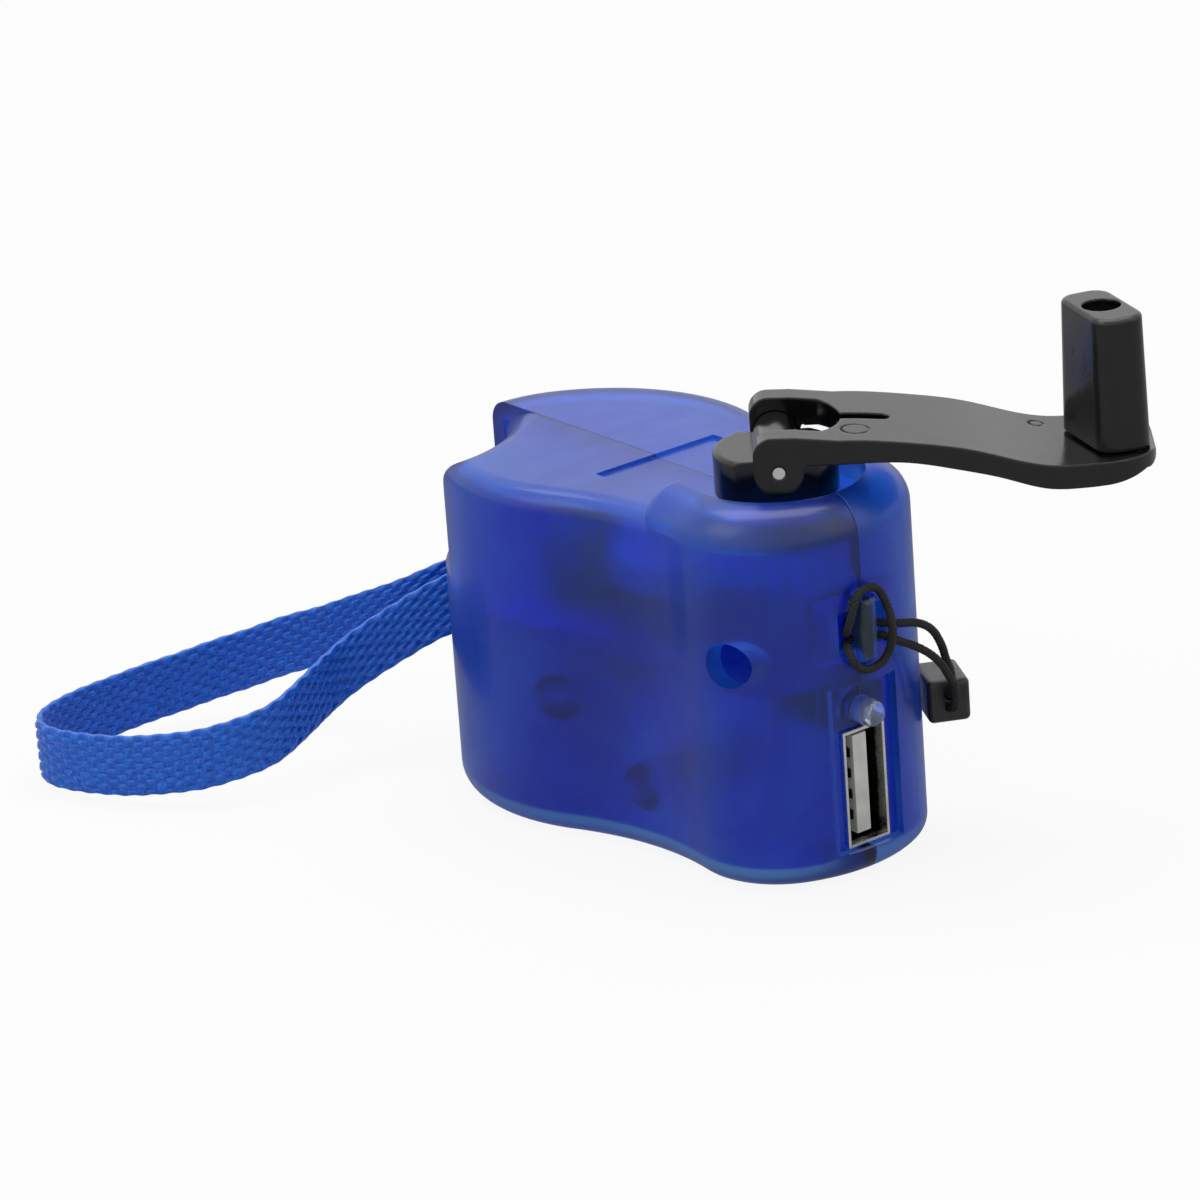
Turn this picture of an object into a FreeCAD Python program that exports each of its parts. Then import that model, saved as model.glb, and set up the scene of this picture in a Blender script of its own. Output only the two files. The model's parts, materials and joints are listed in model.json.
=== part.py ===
"""Hand crank phone charger: two-part translucent housing, folding crank, gear train, generator and USB socket.

Frame: +Z up, millimetres. The crank turns about the Z axis and the housing stands on z = 0.
+X points at the nose with the USB socket, the seam between the two shells is the plane y = 0.
"""
import FreeCAD, Part
import math
import os

import Sketcher

V = FreeCAD.Vector
os.makedirs("parts", exist_ok=True)
doc = FreeCAD.newDocument("hand_crank_charger")
sheet = doc.addObject("Spreadsheet::Sheet", "dims")

# ---------------------------------------------------------------- driving dimensions
SIZES = [
    # housing outline, seen from above
    ("nose_reach", 12.8), ("nose_radius", 17.4), ("front_corner_radius", 10.5),
    ("front_half_width", 13.6), ("waist_radius", 33.0), ("tail_reach", 49.2),
    ("tail_radius", 14.0), ("flank_radius", 21.5), ("rear_half_width", 17.8),
    # housing heights, walls and roundings
    ("wall", 2.0), ("rear_top", 39.3), ("edge_round", 2.5), ("rim_top", 42.0),
    ("rim_round", 4.2), ("rim_end_round", 2.4), ("rim_start", 8.0), ("rim_foot", 31.0),
    ("well_radius", 9.4), ("well_step", 0.35), ("well_tail", 20.5), ("well_half_width", 8.2),
    # thumb scallop in the near shell
    ("scallop_radius", 17.6), ("scallop_back", 55.3), ("scallop_side", 15.5),
    ("scallop_floor", 25.5), ("scallop_round", 3.6),
    # socket window, lamp and side hole
    ("window_half_width", 4.4), ("window_bottom", 3.0), ("window_top", 21.6),
    ("window_depth", 1.5), ("panel", 1.5), ("panel_margin", 0.4), ("side_hole_radius", 2.5),
    ("side_hole_ahead", 5.5), ("side_hole_height", 25.3),
    # lanyard lugs on the seam, and the pocket behind the front one
    ("lug_width", 2.2), ("lug_bar", 1.9), ("lug_gap", 1.7), ("lug_round", 0.9), ("lug_root", 1.6),
    ("front_lug_bottom", 24.3), ("front_lug_height", 7.1), ("front_lug_foot", 1.3),
    ("pocket_depth", 2.2), ("pocket_half_width", 3.2), ("rear_lug_bottom", 11.2),
    ("rear_lug_height", 12.6), ("lug_foot", 2.2),
    # socket
    ("usb_height", 13.1), ("usb_width", 5.7), ("usb_sheet", 0.32), ("usb_length", 14.0),
    ("usb_middle", 9.8), ("usb_inset", 1.0), ("tongue_height", 11.1), ("tongue_thick", 1.84),
    ("tongue_inset", 0.8), ("tongue_length", 8.6), ("contact_thick", 0.2), ("contact_width", 1.0),
    ("contact_pitch", 2.35), ("board_thick", 1.2), ("board_length", 15.5), ("board_height", 17.6),
    ("lamp_radius", 1.5), ("lamp_height", 18.3), ("lamp_length", 4.9), ("lamp_flange", 1.9),
    ("flange_thick", 1.0), ("flat_gap", 0.05),
    # gear deck, axles and generator
    ("deck_bottom", 21.5), ("deck_thick", 1.8), ("air", 0.3), ("running", 0.06),
    ("axle_radius", 1.0), ("motor_radius", 8.6), ("motor_bottom", 2.4), ("cap_thick", 2.6),
    ("motor_turn", 175.3), ("rotor_radius", 1.0), ("boss_radius", 2.6), ("screw_radius", 1.0),
    ("head_radius", 1.9), ("head_thick", 1.4), ("boss_one_back", 11.0), ("boss_one_height", 7.0),
    ("boss_two_back", 21.5), ("boss_two_height", 15.5),
    # gears
    ("drive_teeth", 24), ("second_small_teeth", 10), ("second_large_teeth", 30),
    ("third_small_teeth", 12), ("third_large_teeth", 36), ("pinion_teeth", 12),
    ("first_module", 0.76), ("second_module", 0.6), ("third_module", 0.5),
    ("drive_level", 32.4), ("second_level", 28.4), ("third_level", 24.2), ("gear_thick", 3.0),
    ("backlash", 0.12),
    # crank
    ("crank_angle", 51.6), ("shaft_radius", 2.0), ("sleeve_radius", 4.0), ("hub_radius", 6.6),
    ("hub_bottom", 40.3), ("hub_top", 45.0), ("hub_flat", 4.9), ("barrel_radius", 2.4),
    ("pin_radius", 0.65), ("pin_ahead", 0.17), ("pin_height", 44.63), ("ear_thick", 2.8),
    ("ear_radius", 2.6), ("arm_reach", 39.7), ("arm_thick", 2.6), ("arm_corner", 5.5),
    ("arm_slot", 1.9), ("arm_slot_end", 12.2),
    ("knob_inset", 4.9), ("knob_side", 0.0), ("knob_bottom", 43.7), ("knob_top", 58.0),
    ("knob_bore", 1.5), ("knob_hole", 2.1), ("knob_hole_depth", 3.0), ("knob_round", 2.0),
    ("knob_width", 10.8), ("knob_thick", 5.6), ("knob_slant", 69.0),
    # lanyard, dust plug and wrist strap
    ("cord_radius", 0.5), ("plug_width", 6.6), ("plug_height", 4.8), ("plug_thick", 4.6),
    ("plug_turn", 62.0), ("plug_middle", 14.9), ("plug_round", 0.6), ("eye_depth", 1.8),
    ("strap_thick", 1.0), ("strap_height", 7.0),
]
for row, (alias, number) in enumerate(SIZES, start=1):
    sheet.set("A%d" % row, alias)
    sheet.set("B%d" % row, repr(number))
    sheet.setAlias("B%d" % row, alias)
doc.recompute()


class Size:
    """A length that knows both its sheet expression and its present value."""

    def __init__(self, text, value):
        self.text = text
        self.value = float(value)

    def _join(self, other, sign, result, flip=False):
        text = other.text if isinstance(other, Size) else repr(other)
        first, second = (text, self.text) if flip else (self.text, text)
        return Size("(%s %s %s)" % (first, sign, second), result)

    def __add__(self, other):
        return self._join(other, "+", self.value + float(other))

    def __sub__(self, other):
        return self._join(other, "-", self.value - float(other))

    def __mul__(self, other):
        return self._join(other, "*", self.value * float(other))

    def __truediv__(self, other):
        return self._join(other, "/", self.value / float(other))

    def __radd__(self, other):
        return self._join(other, "+", float(other) + self.value, True)

    def __rsub__(self, other):
        return self._join(other, "-", float(other) - self.value, True)

    def __rmul__(self, other):
        return self._join(other, "*", float(other) * self.value, True)

    def __neg__(self):
        return Size("(-%s)" % self.text, -self.value)

    def __float__(self):
        return self.value

    def root(self):
        return Size("sqrt(%s)" % self.text, math.sqrt(self.value))

    def cosine(self):
        return Size("cos(%s * 1deg)" % self.text, math.cos(math.radians(self.value)))

    def sine(self):
        return Size("sin(%s * 1deg)" % self.text, math.sin(math.radians(self.value)))


def size(alias):
    return Size("dims." + alias, getattr(sheet, alias))


S = {alias: size(alias) for alias, number in SIZES}
ZERO = Size("0", 0.0)


def bind(item, prop, length):
    """Drives one property of an object from the sheet."""
    if isinstance(length, Size):
        item.setExpression(prop, length.text)
    else:
        item.setExpression(prop, repr(float(length)))


def place(item, x, y, z):
    """Puts an object at a place that follows the sheet."""
    item.Placement = FreeCAD.Placement(V(float(x), float(y), float(z)), item.Placement.Rotation)
    for axis, length in (("x", x), ("y", y), ("z", z)):
        bind(item, "Placement.Base." + axis, length)
    return item


def box(name, x0, x1, y0, y1, z0, z1):
    item = doc.addObject("Part::Box", name)
    for prop, low, high in (("Length", x0, x1), ("Width", y0, y1), ("Height", z0, z1)):
        bind(item, prop, high - low)
    return place(item, x0, y0, z0)


AXES = {"Z": FreeCAD.Rotation(), "Y": FreeCAD.Rotation(V(1, 0, 0), -90),
        "X": FreeCAD.Rotation(V(0, 1, 0), 90)}


def cylinder(name, radius, x, y, z, length, axis="Z"):
    item = doc.addObject("Part::Cylinder", name)
    bind(item, "Radius", radius)
    bind(item, "Height", length)
    item.Placement = FreeCAD.Placement(V(0, 0, 0), AXES[axis])
    return place(item, x, y, z)


def fuse(name, *items):
    item = doc.addObject("Part::MultiFuse", name)
    item.Shapes = list(items)
    item.Refine = True
    return item


def cut(name, base, *tools):
    item = doc.addObject("Part::Cut", name)
    item.Base = base
    item.Tool = tools[0] if len(tools) == 1 else fuse(name + "_tools", *tools)
    item.Refine = True
    return item


def common(name, first, second):
    item = doc.addObject("Part::Common", name)
    item.Base = first
    item.Tool = second
    item.Refine = True
    return item


def softened(shape, edges, radius):
    """A shape with the given edges rounded, as one fillet."""
    return shape.makeFillet(radius, edges)


def feature(name, shape):
    item = doc.addObject("Part::Feature", name)
    item.Shape = shape
    return item


def body(name):
    item = doc.addObject("PartDesign::Body", name)
    item.Label = name
    return item


def sketch(holder, name, role="XY_Plane", height=None):
    """A sketch on one of the body's own planes, lifted by a driven height."""
    item = holder.newObject("Sketcher::SketchObject", name)
    plane = [o for o in holder.Origin.OriginFeatures if o.Role == role][0]
    item.AttachmentSupport = [(plane, "")]
    item.MapMode = "FlatFace"
    if height is not None:
        item.AttachmentOffset = FreeCAD.Placement(V(0, 0, float(height)), FreeCAD.Rotation())
        item.setExpression("AttachmentOffset.Base.z", height.text)
    return item


def hold(item, kind, geo, *rest):
    """Adds a driven dimension to a sketch; the last value is a Size."""
    index = item.addConstraint(Sketcher.Constraint(kind, geo, *rest[:-1], float(rest[-1])))
    item.setExpression("Constraints[%d]" % index, rest[-1].text)


def disc(item, radius, x, y):
    geo = item.addGeometry(Part.Circle(V(float(x), float(y), 0), V(0, 0, 1), float(radius)))
    hold(item, "Radius", geo, radius)
    hold(item, "DistanceX", -1, 1, geo, 3, x)
    hold(item, "DistanceY", -1, 1, geo, 3, y)


def polygon(item, points):
    """A closed profile whose corners are all driven."""
    count = len(points)
    for i in range(count):
        a, b = points[i], points[(i + 1) % count]
        item.addGeometry(Part.LineSegment(V(float(a[0]), float(a[1]), 0), V(float(b[0]), float(b[1]), 0)))
    for i in range(count):
        item.addConstraint(Sketcher.Constraint("Coincident", i, 2, (i + 1) % count, 1))
        hold(item, "DistanceX", -1, 1, i, 1, points[i][0])
        hold(item, "DistanceY", -1, 1, i, 1, points[i][1])


def pad(holder, profile, length, kind="Pad", back=False):
    item = holder.newObject("PartDesign::" + kind, profile.Name + "_" + kind.lower())
    item.Profile = profile
    item.Length = float(length)
    item.setExpression("Length", length.text)
    item.Reversed = back
    profile.Visibility = False
    return item


def edges_of(item, test):
    """Names of the edges of an object that pass a test on their bounding box."""
    doc.recompute()
    return ["Edge%d" % (i + 1) for i, e in enumerate(item.Shape.Edges) if test(e.BoundBox)]


def rounded(holder, base, names, radius):
    item = holder.newObject("PartDesign::Fillet", base.Name + "_round")
    item.Base = (base, names)
    item.Radius = float(radius)
    item.setExpression("Radius", radius.text)
    return item


# ---------------------------------------------------------------- housing outline
NOSE_X = S["nose_reach"] - S["nose_radius"]
CORNER_Y = S["front_half_width"] - S["front_corner_radius"]
_run = S["nose_radius"] - S["front_corner_radius"]
CORNER_X = NOSE_X + (_run * _run - CORNER_Y * CORNER_Y).root()
TAIL_X = S["tail_radius"] - S["tail_reach"]
FLANK_Y = S["rear_half_width"] - S["flank_radius"]
_run = S["flank_radius"] - S["tail_radius"]
FLANK_X = TAIL_X + (_run * _run - FLANK_Y * FLANK_Y).root()


def waist_centre():
    """Centre of the hollow arc that runs tangent to corner and flank on the +Y side."""
    x0, y0 = float(CORNER_X), float(CORNER_Y)
    x1, y1 = float(FLANK_X), float(FLANK_Y)
    r0 = float(S["waist_radius"] + S["front_corner_radius"])
    r1 = float(S["waist_radius"] + S["flank_radius"])
    gap = math.hypot(x1 - x0, y1 - y0)
    along = (r0 * r0 - r1 * r1 + gap * gap) / (2 * gap)
    up = math.sqrt(r0 * r0 - along * along)
    ex, ey = (x1 - x0) / gap, (y1 - y0) / gap
    return x0 + ex * along + ey * up, y0 + ey * along - ex * up


def arc_through(centre, radius, start, end, left):
    """Arc of a circle from one point to another, its middle on the given side of the chord."""
    cx, cy = centre
    a0 = math.atan2(start[1] - cy, start[0] - cx)
    a1 = math.atan2(end[1] - cy, end[0] - cx)
    if left:
        return Part.ArcOfCircle(Part.Circle(V(cx, cy, 0), V(0, 0, 1), radius), a0, a1)
    return Part.ArcOfCircle(Part.Circle(V(cx, cy, 0), V(0, 0, 1), radius), a1, a0)


def outline(item, inset=None):
    """Eight tangent arcs round the housing, drawn anticlockwise and inset by a wall."""
    t = inset if inset is not None else ZERO
    nose = (float(NOSE_X), 0.0)
    tail = (float(TAIL_X), 0.0)
    wx, wy = waist_centre()
    rn = S["nose_radius"] - t
    rc = S["front_corner_radius"] - t
    rw = S["waist_radius"] + t
    rf = S["flank_radius"] - t
    rt = S["tail_radius"] - t
    cx, cy = float(CORNER_X), float(CORNER_Y)
    fx, fy = float(FLANK_X), float(FLANK_Y)

    def joint(a, b, radius):
        """Point at a radius from a, on the ray from b through a."""
        d = math.hypot(a[0] - b[0], a[1] - b[1])
        return (a[0] + (a[0] - b[0]) / d * radius, a[1] + (a[1] - b[1]) / d * radius)

    # joints between neighbouring arcs on the +Y side, nose to tail
    j0 = joint((cx, cy), nose, float(rc))
    j1 = joint((cx, cy), (2 * cx - wx, 2 * cy - wy), float(rc))
    j2 = joint((fx, fy), (2 * fx - wx, 2 * fy - wy), float(rf))
    j3 = joint(tail, (fx, fy), float(rt))
    low = [(p[0], -p[1]) for p in (j0, j1, j2, j3)]
    arcs = [
        (nose, rn, low[0], j0, True), ((cx, cy), rc, j0, j1, True), ((wx, wy), rw, j1, j2, False),
        ((fx, fy), rf, j2, j3, True), (tail, rt, j3, low[3], True),
        ((fx, -fy), rf, low[3], low[2], True), ((wx, -wy), rw, low[2], low[1], False),
        ((cx, -cy), rc, low[1], low[0], True),
    ]
    ends = []
    for centre, radius, start, end, left in arcs:
        item.addGeometry(arc_through(centre, float(radius), start, end, left))
        ends.append((1, 2) if left else (2, 1))
    for i in range(8):
        j = (i + 1) % 8
        item.addConstraint(Sketcher.Constraint("Tangent", i, ends[i][1], j, ends[j][0]))
    for i, arc in enumerate(arcs):
        hold(item, "Radius", i, arc[1])
    for i, x in ((0, NOSE_X), (4, TAIL_X)):
        hold(item, "DistanceX", -1, 1, i, 3, x)
        item.addConstraint(Sketcher.Constraint("PointOnObject", i, 3, -1))
    for i, y in ((1, CORNER_Y), (3, FLANK_Y), (5, -FLANK_Y), (7, -CORNER_Y)):
        hold(item, "DistanceY", -1, 1, i, 3, y)


# ---------------------------------------------------------------- outer form of the housing
WELL_FLOOR = S["rear_top"] - S["well_step"]
outer = body("outer_form")
plan = sketch(outer, "housing_plan")
outline(plan)
block = pad(outer, plan, S["rear_top"])
top = float(S["rear_top"])
rims = edges_of(block, lambda b: b.ZLength < 1e-6 and (b.ZMin > top - 1e-6 or b.ZMax < 1e-6))
block = rounded(outer, block, rims, S["edge_round"])

front = body("rim_form")
plan = sketch(front, "rim_plan", height=S["rim_foot"])
outline(plan)
crest = pad(front, plan, S["rim_top"] - S["rim_foot"])
plan = sketch(front, "rim_end")
FAR = S["tail_reach"] + 5
SIDE = S["rear_half_width"] + 5
polygon(plan, [(-FAR, -SIDE), (-S["rim_start"], -SIDE), (-S["rim_start"], SIDE), (-FAR, SIDE)])
crest = pad(front, plan, S["rim_top"] + 1, "Pocket", back=True)
top = float(S["rim_top"])
start = -float(S["rim_start"])
crown = edges_of(crest, lambda b: b.ZMin > top - 1e-6 and b.XMax > start + 1e-3)
crest = rounded(front, crest, crown, S["rim_round"])
crown = edges_of(crest, lambda b: b.XLength < 1e-4 and b.XMin < start + 1e-3 and b.ZMax > top - 1e-6)
crest = rounded(front, crest, crown, S["rim_end_round"])
doc.recompute()

well = cylinder("well", S["well_radius"], ZERO, ZERO, WELL_FLOOR, S["rim_top"] - WELL_FLOOR + 1)
step = box("well_tail_step", -S["well_tail"], ZERO, -S["well_half_width"], S["well_half_width"],
           WELL_FLOOR, S["rim_top"] + 1)
full_form = fuse("full_form", outer, front)

# ---------------------------------------------------------------- lanyard lugs
def lug(name, reach, root, bottom, height, foot, sign):
    """A bar on two feet: the outer block is cut by the slot that the cord goes through."""
    x0, x1 = reach - root, reach + S["lug_gap"] + S["lug_bar"]
    half = S["lug_width"] / 2
    if sign > 0:
        bar = box(name + "_bar", x0, x1, -half, half, bottom, bottom + height)
        slot = box(name + "_slot", reach, reach + S["lug_gap"], -half - 1, half + 1,
                   bottom + foot, bottom + height - foot)
    else:
        bar = box(name + "_bar", -x1, -x0, -half, half, bottom, bottom + height)
        slot = box(name + "_slot", -reach - S["lug_gap"], -reach + 4, -half - 1, half + 1,
                   bottom + foot, bottom + height - foot)
    doc.recompute()
    nose = float(x1) * sign
    soft = doc.addObject("Part::Fillet", name + "_soft")
    soft.Base = bar
    rims = [i + 1 for i, e in enumerate(bar.Shape.Edges)
            if abs(e.BoundBox.XMin - nose) < 1e-6 and abs(e.BoundBox.XMax - nose) < 1e-6]
    soft.Edges = [(i, float(S["lug_round"]), float(S["lug_round"])) for i in rims]
    return cut(name, soft, slot)


# the front lug stands over a pocket in the nose, so that the cord passes behind it
POCKET_X = S["nose_reach"] - S["pocket_depth"]
POCKET_LOW = S["front_lug_bottom"] + S["front_lug_foot"]
POCKET_TOP = S["front_lug_bottom"] + S["front_lug_height"] - S["front_lug_foot"]
pocket = box("lug_pocket", POCKET_X, S["nose_reach"] + 1, -S["pocket_half_width"],
             S["pocket_half_width"], POCKET_LOW, POCKET_TOP)
pocket_back = box("pocket_back", POCKET_X - S["panel"], S["nose_reach"] + 1,
                  -S["pocket_half_width"] - S["panel"], S["pocket_half_width"] + S["panel"],
                  POCKET_LOW - S["panel"], POCKET_TOP + S["panel"])
front_lug = lug("front_lug", POCKET_X, S["lug_root"], S["front_lug_bottom"], S["front_lug_height"],
                S["front_lug_foot"], 1)
rear_lug = lug("rear_lug", S["tail_reach"], S["lug_root"], S["rear_lug_bottom"],
               S["rear_lug_height"], S["lug_foot"], -1)

# ---------------------------------------------------------------- hollow of the housing
hollow = body("hollow_form")
plan = sketch(hollow, "hollow_plan", height=S["wall"])
outline(plan, S["wall"])
pad(hollow, plan, S["rear_top"] - 2 * S["wall"])
panel_x0 = S["nose_reach"] - S["window_depth"] - S["panel"]
panel_half = S["window_half_width"] + S["panel_margin"]
thick_nose = box("thick_nose", panel_x0, S["nose_reach"] + 5, -panel_half, panel_half,
                 ZERO, S["window_top"] + S["panel_margin"])
bosses = []
for tag in ("one", "two"):
    bosses.append(cylinder("boss_" + tag, S["boss_radius"], -S["boss_%s_back" % tag], -SIDE,
                           S["boss_%s_height" % tag], 2 * SIDE, "Y"))
hollow_both = cut("hollow_both", hollow, thick_nose, pocket_back, *bosses)
lining = cylinder("scallop_lining", S["scallop_radius"] + S["wall"], -S["scallop_back"],
                  -S["scallop_side"], S["scallop_floor"] - S["wall"], S["rear_top"])
hollow_near = cut("hollow_near", hollow_both, lining)

# the scallop is a turned cutter with a flared mouth, so that its top edge comes out rounded
scallop = body("scallop_form")
turn = sketch(scallop, "scallop_profile", "XZ_Plane")
r0, r1 = S["scallop_radius"], S["scallop_radius"] + S["scallop_round"]
z0, z1 = S["scallop_floor"], S["rear_top"]
zr = S["rear_top"] - S["scallop_round"]
corners = [(ZERO, z0), (r0, z0), (r0, zr), (r1, z1), (r1, z1 + 5), (ZERO, z1 + 5)]
for i, j in ((0, 1), (1, 2)):
    turn.addGeometry(Part.LineSegment(V(float(corners[i][0]), float(corners[i][1]), 0),
                                      V(float(corners[j][0]), float(corners[j][1]), 0)))
flare = Part.Circle(V(float(r1), float(zr), 0), V(0, 0, 1), float(S["scallop_round"]))
turn.addGeometry(Part.ArcOfCircle(flare, math.pi / 2, math.pi))
for i, j in ((3, 4), (4, 5), (5, 0)):
    turn.addGeometry(Part.LineSegment(V(float(corners[i][0]), float(corners[i][1]), 0),
                                      V(float(corners[j][0]), float(corners[j][1]), 0)))
ends = [(0, 1, 2), (1, 1, 2), (2, 2, 1), (3, 1, 2), (4, 1, 2), (5, 1, 2)]
for i in range(6):
    a, b = ends[i], ends[(i + 1) % 6]
    turn.addConstraint(Sketcher.Constraint("Coincident", a[0], a[2], b[0], b[1]))
    hold(turn, "DistanceX", -1, 1, a[0], a[1], corners[i][0])
    hold(turn, "DistanceY", -1, 1, a[0], a[1], corners[i][1])
hold(turn, "Radius", 2, S["scallop_round"])
spin = scallop.newObject("PartDesign::Revolution", "scallop_turn")
spin.Profile = turn
spin.ReferenceAxis = (turn, ["V_Axis"])
spin.Angle = 360
place(scallop, -S["scallop_back"], -S["scallop_side"], ZERO)

# ---------------------------------------------------------------- openings in both shells
USB_HALF = S["usb_width"] / 2
USB_LOW = S["usb_middle"] - S["usb_height"] / 2
WINDOW_X = S["nose_reach"] - S["window_depth"]
window = box("window", WINDOW_X, S["nose_reach"] + 5, -S["window_half_width"],
             S["window_half_width"], S["window_bottom"], S["window_top"])
mouth = box("socket_mouth", ZERO, S["nose_reach"], -USB_HALF - S["air"] / 2,
            USB_HALF + S["air"] / 2, USB_LOW - S["air"] / 2,
            USB_LOW + S["usb_height"] + S["air"] / 2)
lamp_hole = cylinder("lamp_hole", S["lamp_radius"] + S["running"], ZERO, ZERO, S["lamp_height"],
                     S["nose_reach"], "X")
shaft_hole = cylinder("shaft_hole", S["sleeve_radius"] + S["air"], ZERO, ZERO,
                      S["rear_top"] - 2 * S["wall"], 2 * S["wall"] + 5)
cutters = [well, step, window, mouth, lamp_hole, shaft_hole]

near_half = box("near_half", -S["tail_reach"] - 10, S["nose_reach"] + 10, -SIDE, ZERO,
                ZERO, S["rim_top"] + 5)
far_half = box("far_half", -S["tail_reach"] - 10, S["nose_reach"] + 10, ZERO, SIDE,
               ZERO, S["rim_top"] + 5)
form_with_lugs = fuse("form_with_lugs", cut("pocketed_form", full_form, pocket), front_lug, rear_lug)
shell_form = cut("shell_form", form_with_lugs, *cutters)

side_hole = cylinder("side_hole", S["side_hole_radius"], S["side_hole_ahead"], -SIDE,
                     S["side_hole_height"], SIDE - 5, "Y")
pilots, clearances, heads = [], [], []
for tag in ("one", "two"):
    at = (-S["boss_%s_back" % tag], S["boss_%s_height" % tag])
    pilots.append(cylinder("pilot_" + tag, S["screw_radius"], at[0], -S["front_half_width"] * 0.6,
                           at[1], SIDE, "Y"))
    clearances.append(cylinder("clearance_" + tag, S["screw_radius"] + S["running"], at[0], ZERO,
                               at[1], SIDE, "Y"))
    heads.append(cylinder("head_seat_" + tag, S["head_radius"] + 0.3, at[0],
                          S["front_half_width"] * 0.6, at[1], SIDE, "Y"))
left_form = cut("left_hollowed", shell_form, hollow_near, scallop, side_hole, *pilots)
right_form = cut("right_hollowed", shell_form, hollow_both, *(clearances + heads))
left_shell = common("left_shell", left_form, near_half)
right_shell = common("right_shell", right_form, far_half)

# ---------------------------------------------------------------- socket, lamp and board
USB_X1 = S["nose_reach"] - S["usb_inset"]
USB_X0 = USB_X1 - S["usb_length"]
tube = box("usb_tube", USB_X0, USB_X1, -USB_HALF, USB_HALF, USB_LOW, USB_LOW + S["usb_height"])
inside = box("usb_inside", USB_X0 + S["usb_sheet"], USB_X1 + 1, -USB_HALF + S["usb_sheet"],
             USB_HALF - S["usb_sheet"], USB_LOW + S["usb_sheet"],
             USB_LOW + S["usb_height"] - S["usb_sheet"])
usb_shell = cut("usb_shell", tube, inside)
TONGUE_X1 = USB_X1 - S["tongue_inset"]
TONGUE_LOW = S["usb_middle"] - S["tongue_height"] / 2
block_x1 = USB_X0 + S["usb_sheet"] + 3
slab = box("tongue_slab", block_x1, TONGUE_X1, -S["tongue_thick"] / 2, S["tongue_thick"] / 2,
           TONGUE_LOW, TONGUE_LOW + S["tongue_height"])
base = box("tongue_base", USB_X0 + S["usb_sheet"], block_x1, -USB_HALF + S["usb_sheet"],
           USB_HALF - S["usb_sheet"], USB_LOW + S["usb_sheet"],
           USB_LOW + S["usb_height"] - S["usb_sheet"])
usb_tongue = fuse("usb_tongue", base, slab)
contacts = []
for i in range(4):
    middle = S["usb_middle"] + (i - 1.5) * S["contact_pitch"]
    contacts.append(box("usb_contact_%d" % (i + 1), TONGUE_X1 - S["tongue_length"], TONGUE_X1 - 0.5,
                        -S["tongue_thick"] / 2 - S["contact_thick"], -S["tongue_thick"] / 2,
                        middle - S["contact_width"] / 2, middle + S["contact_width"] / 2))
BOARD_Y = USB_HALF + S["air"]
circuit_board = box("circuit_board", panel_x0 - S["air"] - S["board_length"], panel_x0 - S["air"],
                    BOARD_Y, BOARD_Y + S["board_thick"], S["wall"] + S["air"],
                    S["wall"] + S["air"] + S["board_height"])
lamp_x0 = panel_x0 - S["flange_thick"]
stem = cylinder("lamp_stem", S["lamp_radius"], lamp_x0, ZERO, S["lamp_height"],
                S["flange_thick"] + S["lamp_length"] - S["lamp_radius"], "X")
dome = doc.addObject("Part::Sphere", "lamp_dome")
bind(dome, "Radius", S["lamp_radius"])
place(dome, lamp_x0 + S["flange_thick"] + S["lamp_length"] - S["lamp_radius"], ZERO,
      S["lamp_height"])
flange = cylinder("lamp_flange", S["lamp_flange"], lamp_x0, ZERO, S["lamp_height"],
                  S["flange_thick"], "X")
# the flange has a flat on the side of the socket
flat_z = S["lamp_height"] - S["lamp_radius"] - S["flat_gap"]
lamp_flat = box("lamp_flat", lamp_x0 - 1, panel_x0 + 1, -S["lamp_flange"] - 1,
                S["lamp_flange"] + 1, flat_z - S["lamp_flange"], flat_z)
led_lamp = cut("led_lamp", fuse("lamp_parts", stem, dome, flange), lamp_flat)

# ---------------------------------------------------------------- axes of the gear train
def centre_gap(first, second, module):
    return (S[first] + S[second]) * S[module] / 2 + S["running"]


SECOND_X = -centre_gap("drive_teeth", "second_small_teeth", "first_module")
THIRD_X = SECOND_X - centre_gap("second_large_teeth", "third_small_teeth", "second_module")
MOTOR_GAP = centre_gap("third_large_teeth", "pinion_teeth", "third_module")
MOTOR_X = THIRD_X + MOTOR_GAP * S["motor_turn"].cosine()
MOTOR_Y = MOTOR_GAP * S["motor_turn"].sine()
DECK_TOP = S["deck_bottom"] + S["deck_thick"]

deck = body("deck_form")
plan = sketch(deck, "deck_plan", height=S["deck_bottom"])
outline(plan, S["wall"] + S["air"])
disc(plan, S["shaft_radius"] + S["running"], ZERO, ZERO)
disc(plan, S["axle_radius"], SECOND_X, ZERO)
disc(plan, S["axle_radius"], THIRD_X, ZERO)
disc(plan, S["rotor_radius"] + 4 * S["air"], MOTOR_X, MOTOR_Y)
pad(deck, plan, S["deck_thick"])
notch = box("deck_notch", panel_x0 - S["air"], S["nose_reach"], -SIDE, SIDE,
            S["deck_bottom"] - 1, DECK_TOP + 1)
sight = cylinder("deck_sight", S["side_hole_radius"] + 2 * S["air"], S["side_hole_ahead"], -SIDE,
                 S["side_hole_height"], SIDE - 4, "Y")
gear_deck = cut("gear_deck", deck, notch, sight)

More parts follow.
